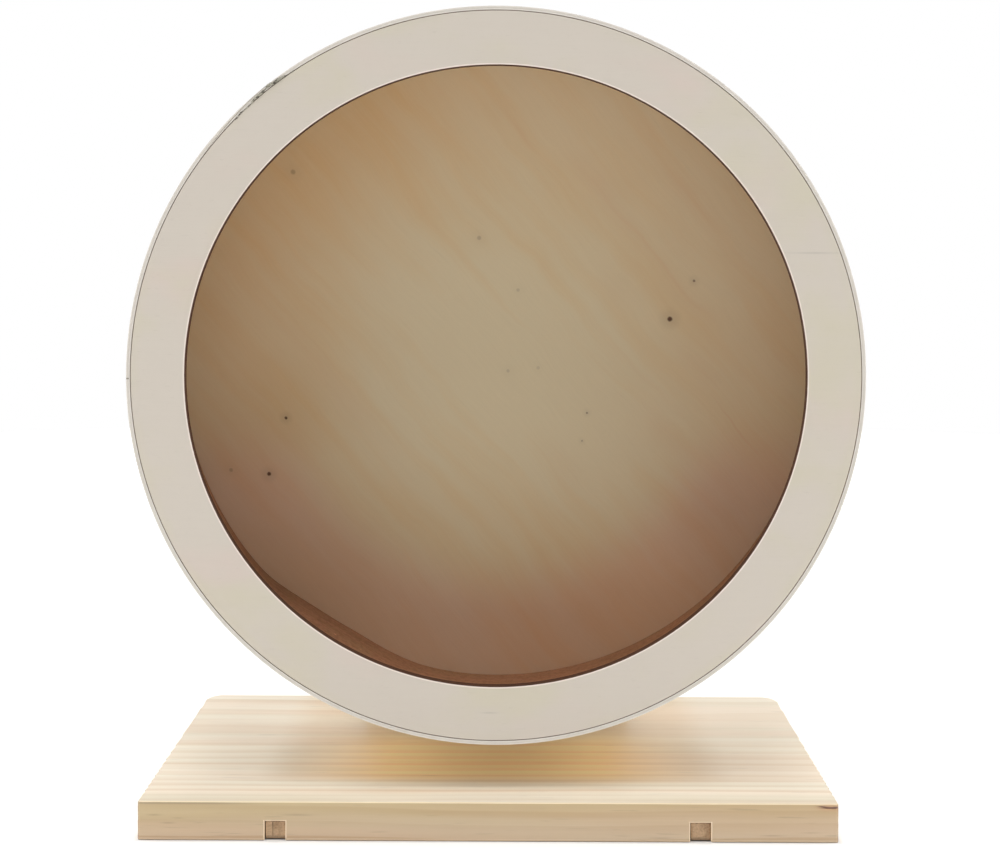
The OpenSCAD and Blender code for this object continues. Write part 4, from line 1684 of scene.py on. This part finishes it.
    def seam_crumbs(self, box: Extent) -> Shell:
        """Lays the crumbs of glue and dust that sit in the seam near the joint: a bead that swells and thins.

        Args:
            box: The front ring's box.

        Returns:
            The closed surface.
        """
        turn = np.linspace(*self.crumbs, 480)
        angle, place = np.radians(turn), np.radians(turn) * box.outer
        lumps = relief(place, 1.5 * MM, 61) * 0.5 + relief(place, 0.5 * MM, 62) * 0.5
        ends = np.clip(np.minimum(turn - turn[0], turn[-1] - turn) / 3.0, 0.1, 1)
        heap = np.exp(-(((turn - self.crumbs_thickest) / 3.2) ** 2))
        radius = np.clip((0.12 + 0.46 * heap) * (1 + 1.1 * lumps), 0.03, 0.7) * ends * MM
        reach = box.outer + (0.3 * relief(place, 2.5 * MM, 63) + 0.85 * heap) * MM
        return bead(turned(reach, box.low[1], angle), turned(1.0, 0.0, angle, (0.0, 0.0)), TO_REAR, radius)


@dataclass
class RunningTrack:
    """The cork running track, which lies straight where its two ends meet."""

    thickness: float = 2 * MM
    joint_angle: float = 122.0
    joint_gap: float = 0.02 * MM
    bend: float = 0.9 * MM
    slack_bend: float = 2.0 * MM
    grain: float = 1.25 * MM
    rough: float = 0.09 * MM
    edge: float = 0.4 * MM
    lip: float = 0.1 * MM

    def build(self) -> None:
        """Builds and dresses the running track and the packing strip under its joint."""
        box = Extent.of("cork_track")
        cork = CorkSheet(box.low[1], box.high[1]).make()
        fit("track_cork", self.sheet(box), Body.WHEEL, Slot.CORK, cork, "cork_track")
        dress(PlyStack("strip_ply", box.low[1], 0.5 * MM).make(), "cork_joint_strip")

    def sheet(self, box: Extent) -> Shell:
        """Carries the cork's section round the drum, from one of its ends to the other.

        At an angle a from the joint the sheet's inside lies at the softened lesser of R and
        d / cos a, where d is the flat part's distance from the axis: with the width w it is
        -w log(exp(-R / w) + exp(-d / (w cos a))). Granules raise and lower it a little.

        Args:
            box: The cork's box.

        Returns:
            The closed surface.
        """
        circle, flat, front = box.outer - self.thickness, box.inner, box.low[1]
        half_gap = math.degrees(self.joint_gap / 2 / flat)
        turn = np.linspace(half_gap, 360 - half_gap, int(2 * math.pi * circle / self.grain))[:, None]
        away = np.radians(np.minimum(turn, 360 - turn))
        straight = np.where(away < 1.0, 1 / np.cos(np.minimum(away, 1.0)), 10.0)
        bend = np.where(turn > 180, self.slack_bend, self.bend)
        inside = np.maximum(-bend * np.logaddexp(-circle / bend, -flat * straight / bend), flat)
        outside = np.minimum(box.outer, (flat + self.thickness) * straight)
        steps = int((box.high[1] - front) / self.grain)
        face = np.linspace(front + self.edge, box.high[1] - self.edge, steps)
        place = np.radians(turn) * circle
        lumps = relief(place, 2.6 * MM, 51, face) * 0.6 + relief(place, 1.3 * MM, 52, face) * 0.4
        wave = relief(place, 5 * MM, 53) * 0.5 + relief(place, 1.7 * MM, 54) * 0.5
        front, rear = front + 0 * turn, box.high[1] - (0.12 + 0.12 * wave) * MM
        lower, upper, granules = inside + self.lip, inside + self.edge, inside + (1 - lumps) * self.rough
        r = [outside, outside, upper, lower, granules, lower, upper, outside - 0.2 * MM]
        face = np.broadcast_to(face, lumps.shape)
        y = [rear, front, front, front + self.lip, face, rear - self.lip, rear, rear]
        angle = np.radians(turn + self.joint_angle)
        return Shell.from_grid(turned(np.concatenate(r, 1), np.concatenate(y, 1), angle))


@dataclass(frozen=True)
class Lamp:
    """A soft square or oblong lamp, aimed at the middle of the wheel if nothing else is said."""

    name: str
    at: Place
    power: float
    wide: float = 0.7
    high: float = 0.7
    aim: Place = (0.0, 0.0, 0.12)

    def hang(self) -> None:
        """Hangs the lamp in the studio, out of the camera's sight."""
        light = bpy.data.lights.new(self.name, "AREA")
        light.energy, light.shape = self.power, "RECTANGLE"
        light.size, light.size_y = self.wide, self.high
        lamp = bpy.data.objects.new(self.name, light)
        lamp.location = self.at
        lamp.rotation_euler = (Vector(self.aim) - lamp.location).to_track_quat("-Z", "Y").to_euler()
        lamp.visible_camera = False
        bpy.context.scene.collection.objects.link(lamp)


@dataclass
class Studio:
    """A plain pale floor, plain soft light, and the camera at the photograph's viewing angle."""

    frame_width: int = 1000
    focal_pixels: float = 1681.3
    sensor: float = 36.0
    shift: float = -0.14
    camera_at: Place = (7.58 * MM, -720.2 * MM, 227.2 * MM)
    tilt: float = 1.282
    yaw: float = -0.301
    roll: float = 0.15
    sky: float = 0.347
    floor_r: float = 1.5
    far_glow: float = 0.35
    floor_glow: float = 0.161
    contact_shade: float = 3 * MM
    lamps: tuple[Lamp, ...] = (
        Lamp("overhead", (0.0, 0.0, 1.6), 6.8, 0.9, 0.9), Lamp("key_above_front", (0.0, -0.6, 1.5), 6.1),
        Lamp("fill_left", (-1.6, -0.6, 0.9), 3.1), Lamp("fill_right", (1.6, -0.6, 0.9), 1.0),
        Lamp("high_left", (-1.1, 0.0, 1.0), 3.9), Lamp("high_right", (1.1, 0.0, 1.0), 4.8),
        Lamp("top_behind", (0.0, 0.9, 1.3), 5.0),
        Lamp("backdrop", (0.0, 1.8, 0.55), 3.6, 3.4, 1.3, (0.0, 0.0, 0.3)),
        Lamp("low_left", (-1.5, -0.05, 0.2), 13.7, 0.9, 0.3, (0.0, 0.0, 0.02)),
        Lamp("low_right", (1.5, -0.05, 0.2), 13.7, 0.9, 0.3, (0.0, 0.0, 0.02)),
    )

    def build(self) -> None:
        """Sets up the light, the floor and the camera."""
        self.light()
        self.floor()
        self.camera()

    def light(self) -> None:
        """Lights the scene from a white surround and a few large soft lamps."""
        world = bpy.data.worlds.new("studio")
        world.use_nodes = True
        tree, soft = world.node_tree, world.node_tree.nodes["Background"]
        kinds = ("Background", "LightPath", "MixShader")
        white, seen, choose = (tree.nodes.new("ShaderNode" + kind) for kind in kinds)
        soft.inputs["Color"].default_value = white.inputs["Color"].default_value = (1.0, 1.0, 1.0, 1.0)
        soft.inputs["Strength"].default_value = self.sky
        sources = (seen.outputs["Is Camera Ray"], soft.outputs[0], white.outputs[0])
        for source, socket in zip(sources, choose.inputs):
            tree.links.new(source, socket)
        tree.links.new(choose.outputs[0], tree.nodes["World Output"].inputs["Surface"])
        bpy.context.scene.world = world
        bpy.context.scene.view_settings.view_transform = "Standard"
        for lamp in self.lamps:
            lamp.hang()

    def floor(self) -> None:
        """Lays the pale floor, just under the base: it glows, more so far out, with no glow close to the base
        as a painted contact shade.
        """
        sunk, corners, base = 0.05 * MM, 96, Extent.of("base_board")
        rim = turned(self.floor_r, -sunk, -whole_turn(corners), (0.0, 0.0), Way.Z)
        floor = make_object("floor", Shell(rim, [np.arange(corners)[None]]))
        mix = Recipe("studio_floor", (0.86, 0.86, 0.86))
        beyond = (abs(mix.x) - base.high[0]).most(abs(mix.y) - base.high[1])
        away = mix.vector("LENGTH", mix.place, out="Value")
        far = away.step(0.4 * self.floor_r, 0.9 * self.floor_r) * self.far_glow
        # Painted contact shade: the floor's near glow stops close to the base
        near = beyond.step(0.3 * MM, self.contact_shade) * self.floor_glow
        mix.feed(mix.shader.inputs["Emission Color"], (1.0, 1.0, 1.0))
        mix.feed(mix.shader.inputs["Emission Strength"], near + far)
        floor.data.materials.append(mix.done(0.9, gloss=0.1))

    def camera(self) -> None:
        """Stands the camera where the photograph was taken from."""
        lens = bpy.data.cameras.new("camera")
        lens.sensor_width = self.sensor
        lens.lens = self.focal_pixels * self.sensor / self.frame_width
        lens.shift_y = self.shift
        lens.clip_start = 0.05
        camera = bpy.data.objects.new("camera", lens)
        camera.location = self.camera_at
        level = math.radians(90 - self.tilt)
        turn = Matrix.Rotation(math.radians(-self.yaw), 4, "Z") @ Matrix.Rotation(level, 4, "X")
        camera.rotation_euler = (turn @ Matrix.Rotation(math.radians(self.roll), 4, "Z")).to_euler()
        bpy.context.scene.collection.objects.link(camera)
        bpy.context.scene.camera = camera


def main() -> None:
    """Builds the studio and every sub-assembly of the wheel."""
    logging.basicConfig(level=logging.INFO, format="%(name)s: %(message)s")
    for part in (Studio(), Stand(), AxleSet(), Bearings(), Hub(), Drum(), RunningTrack()):
        log.info("building %s", type(part).__name__)
        part.build()


if __name__ == "__main__":
    main()
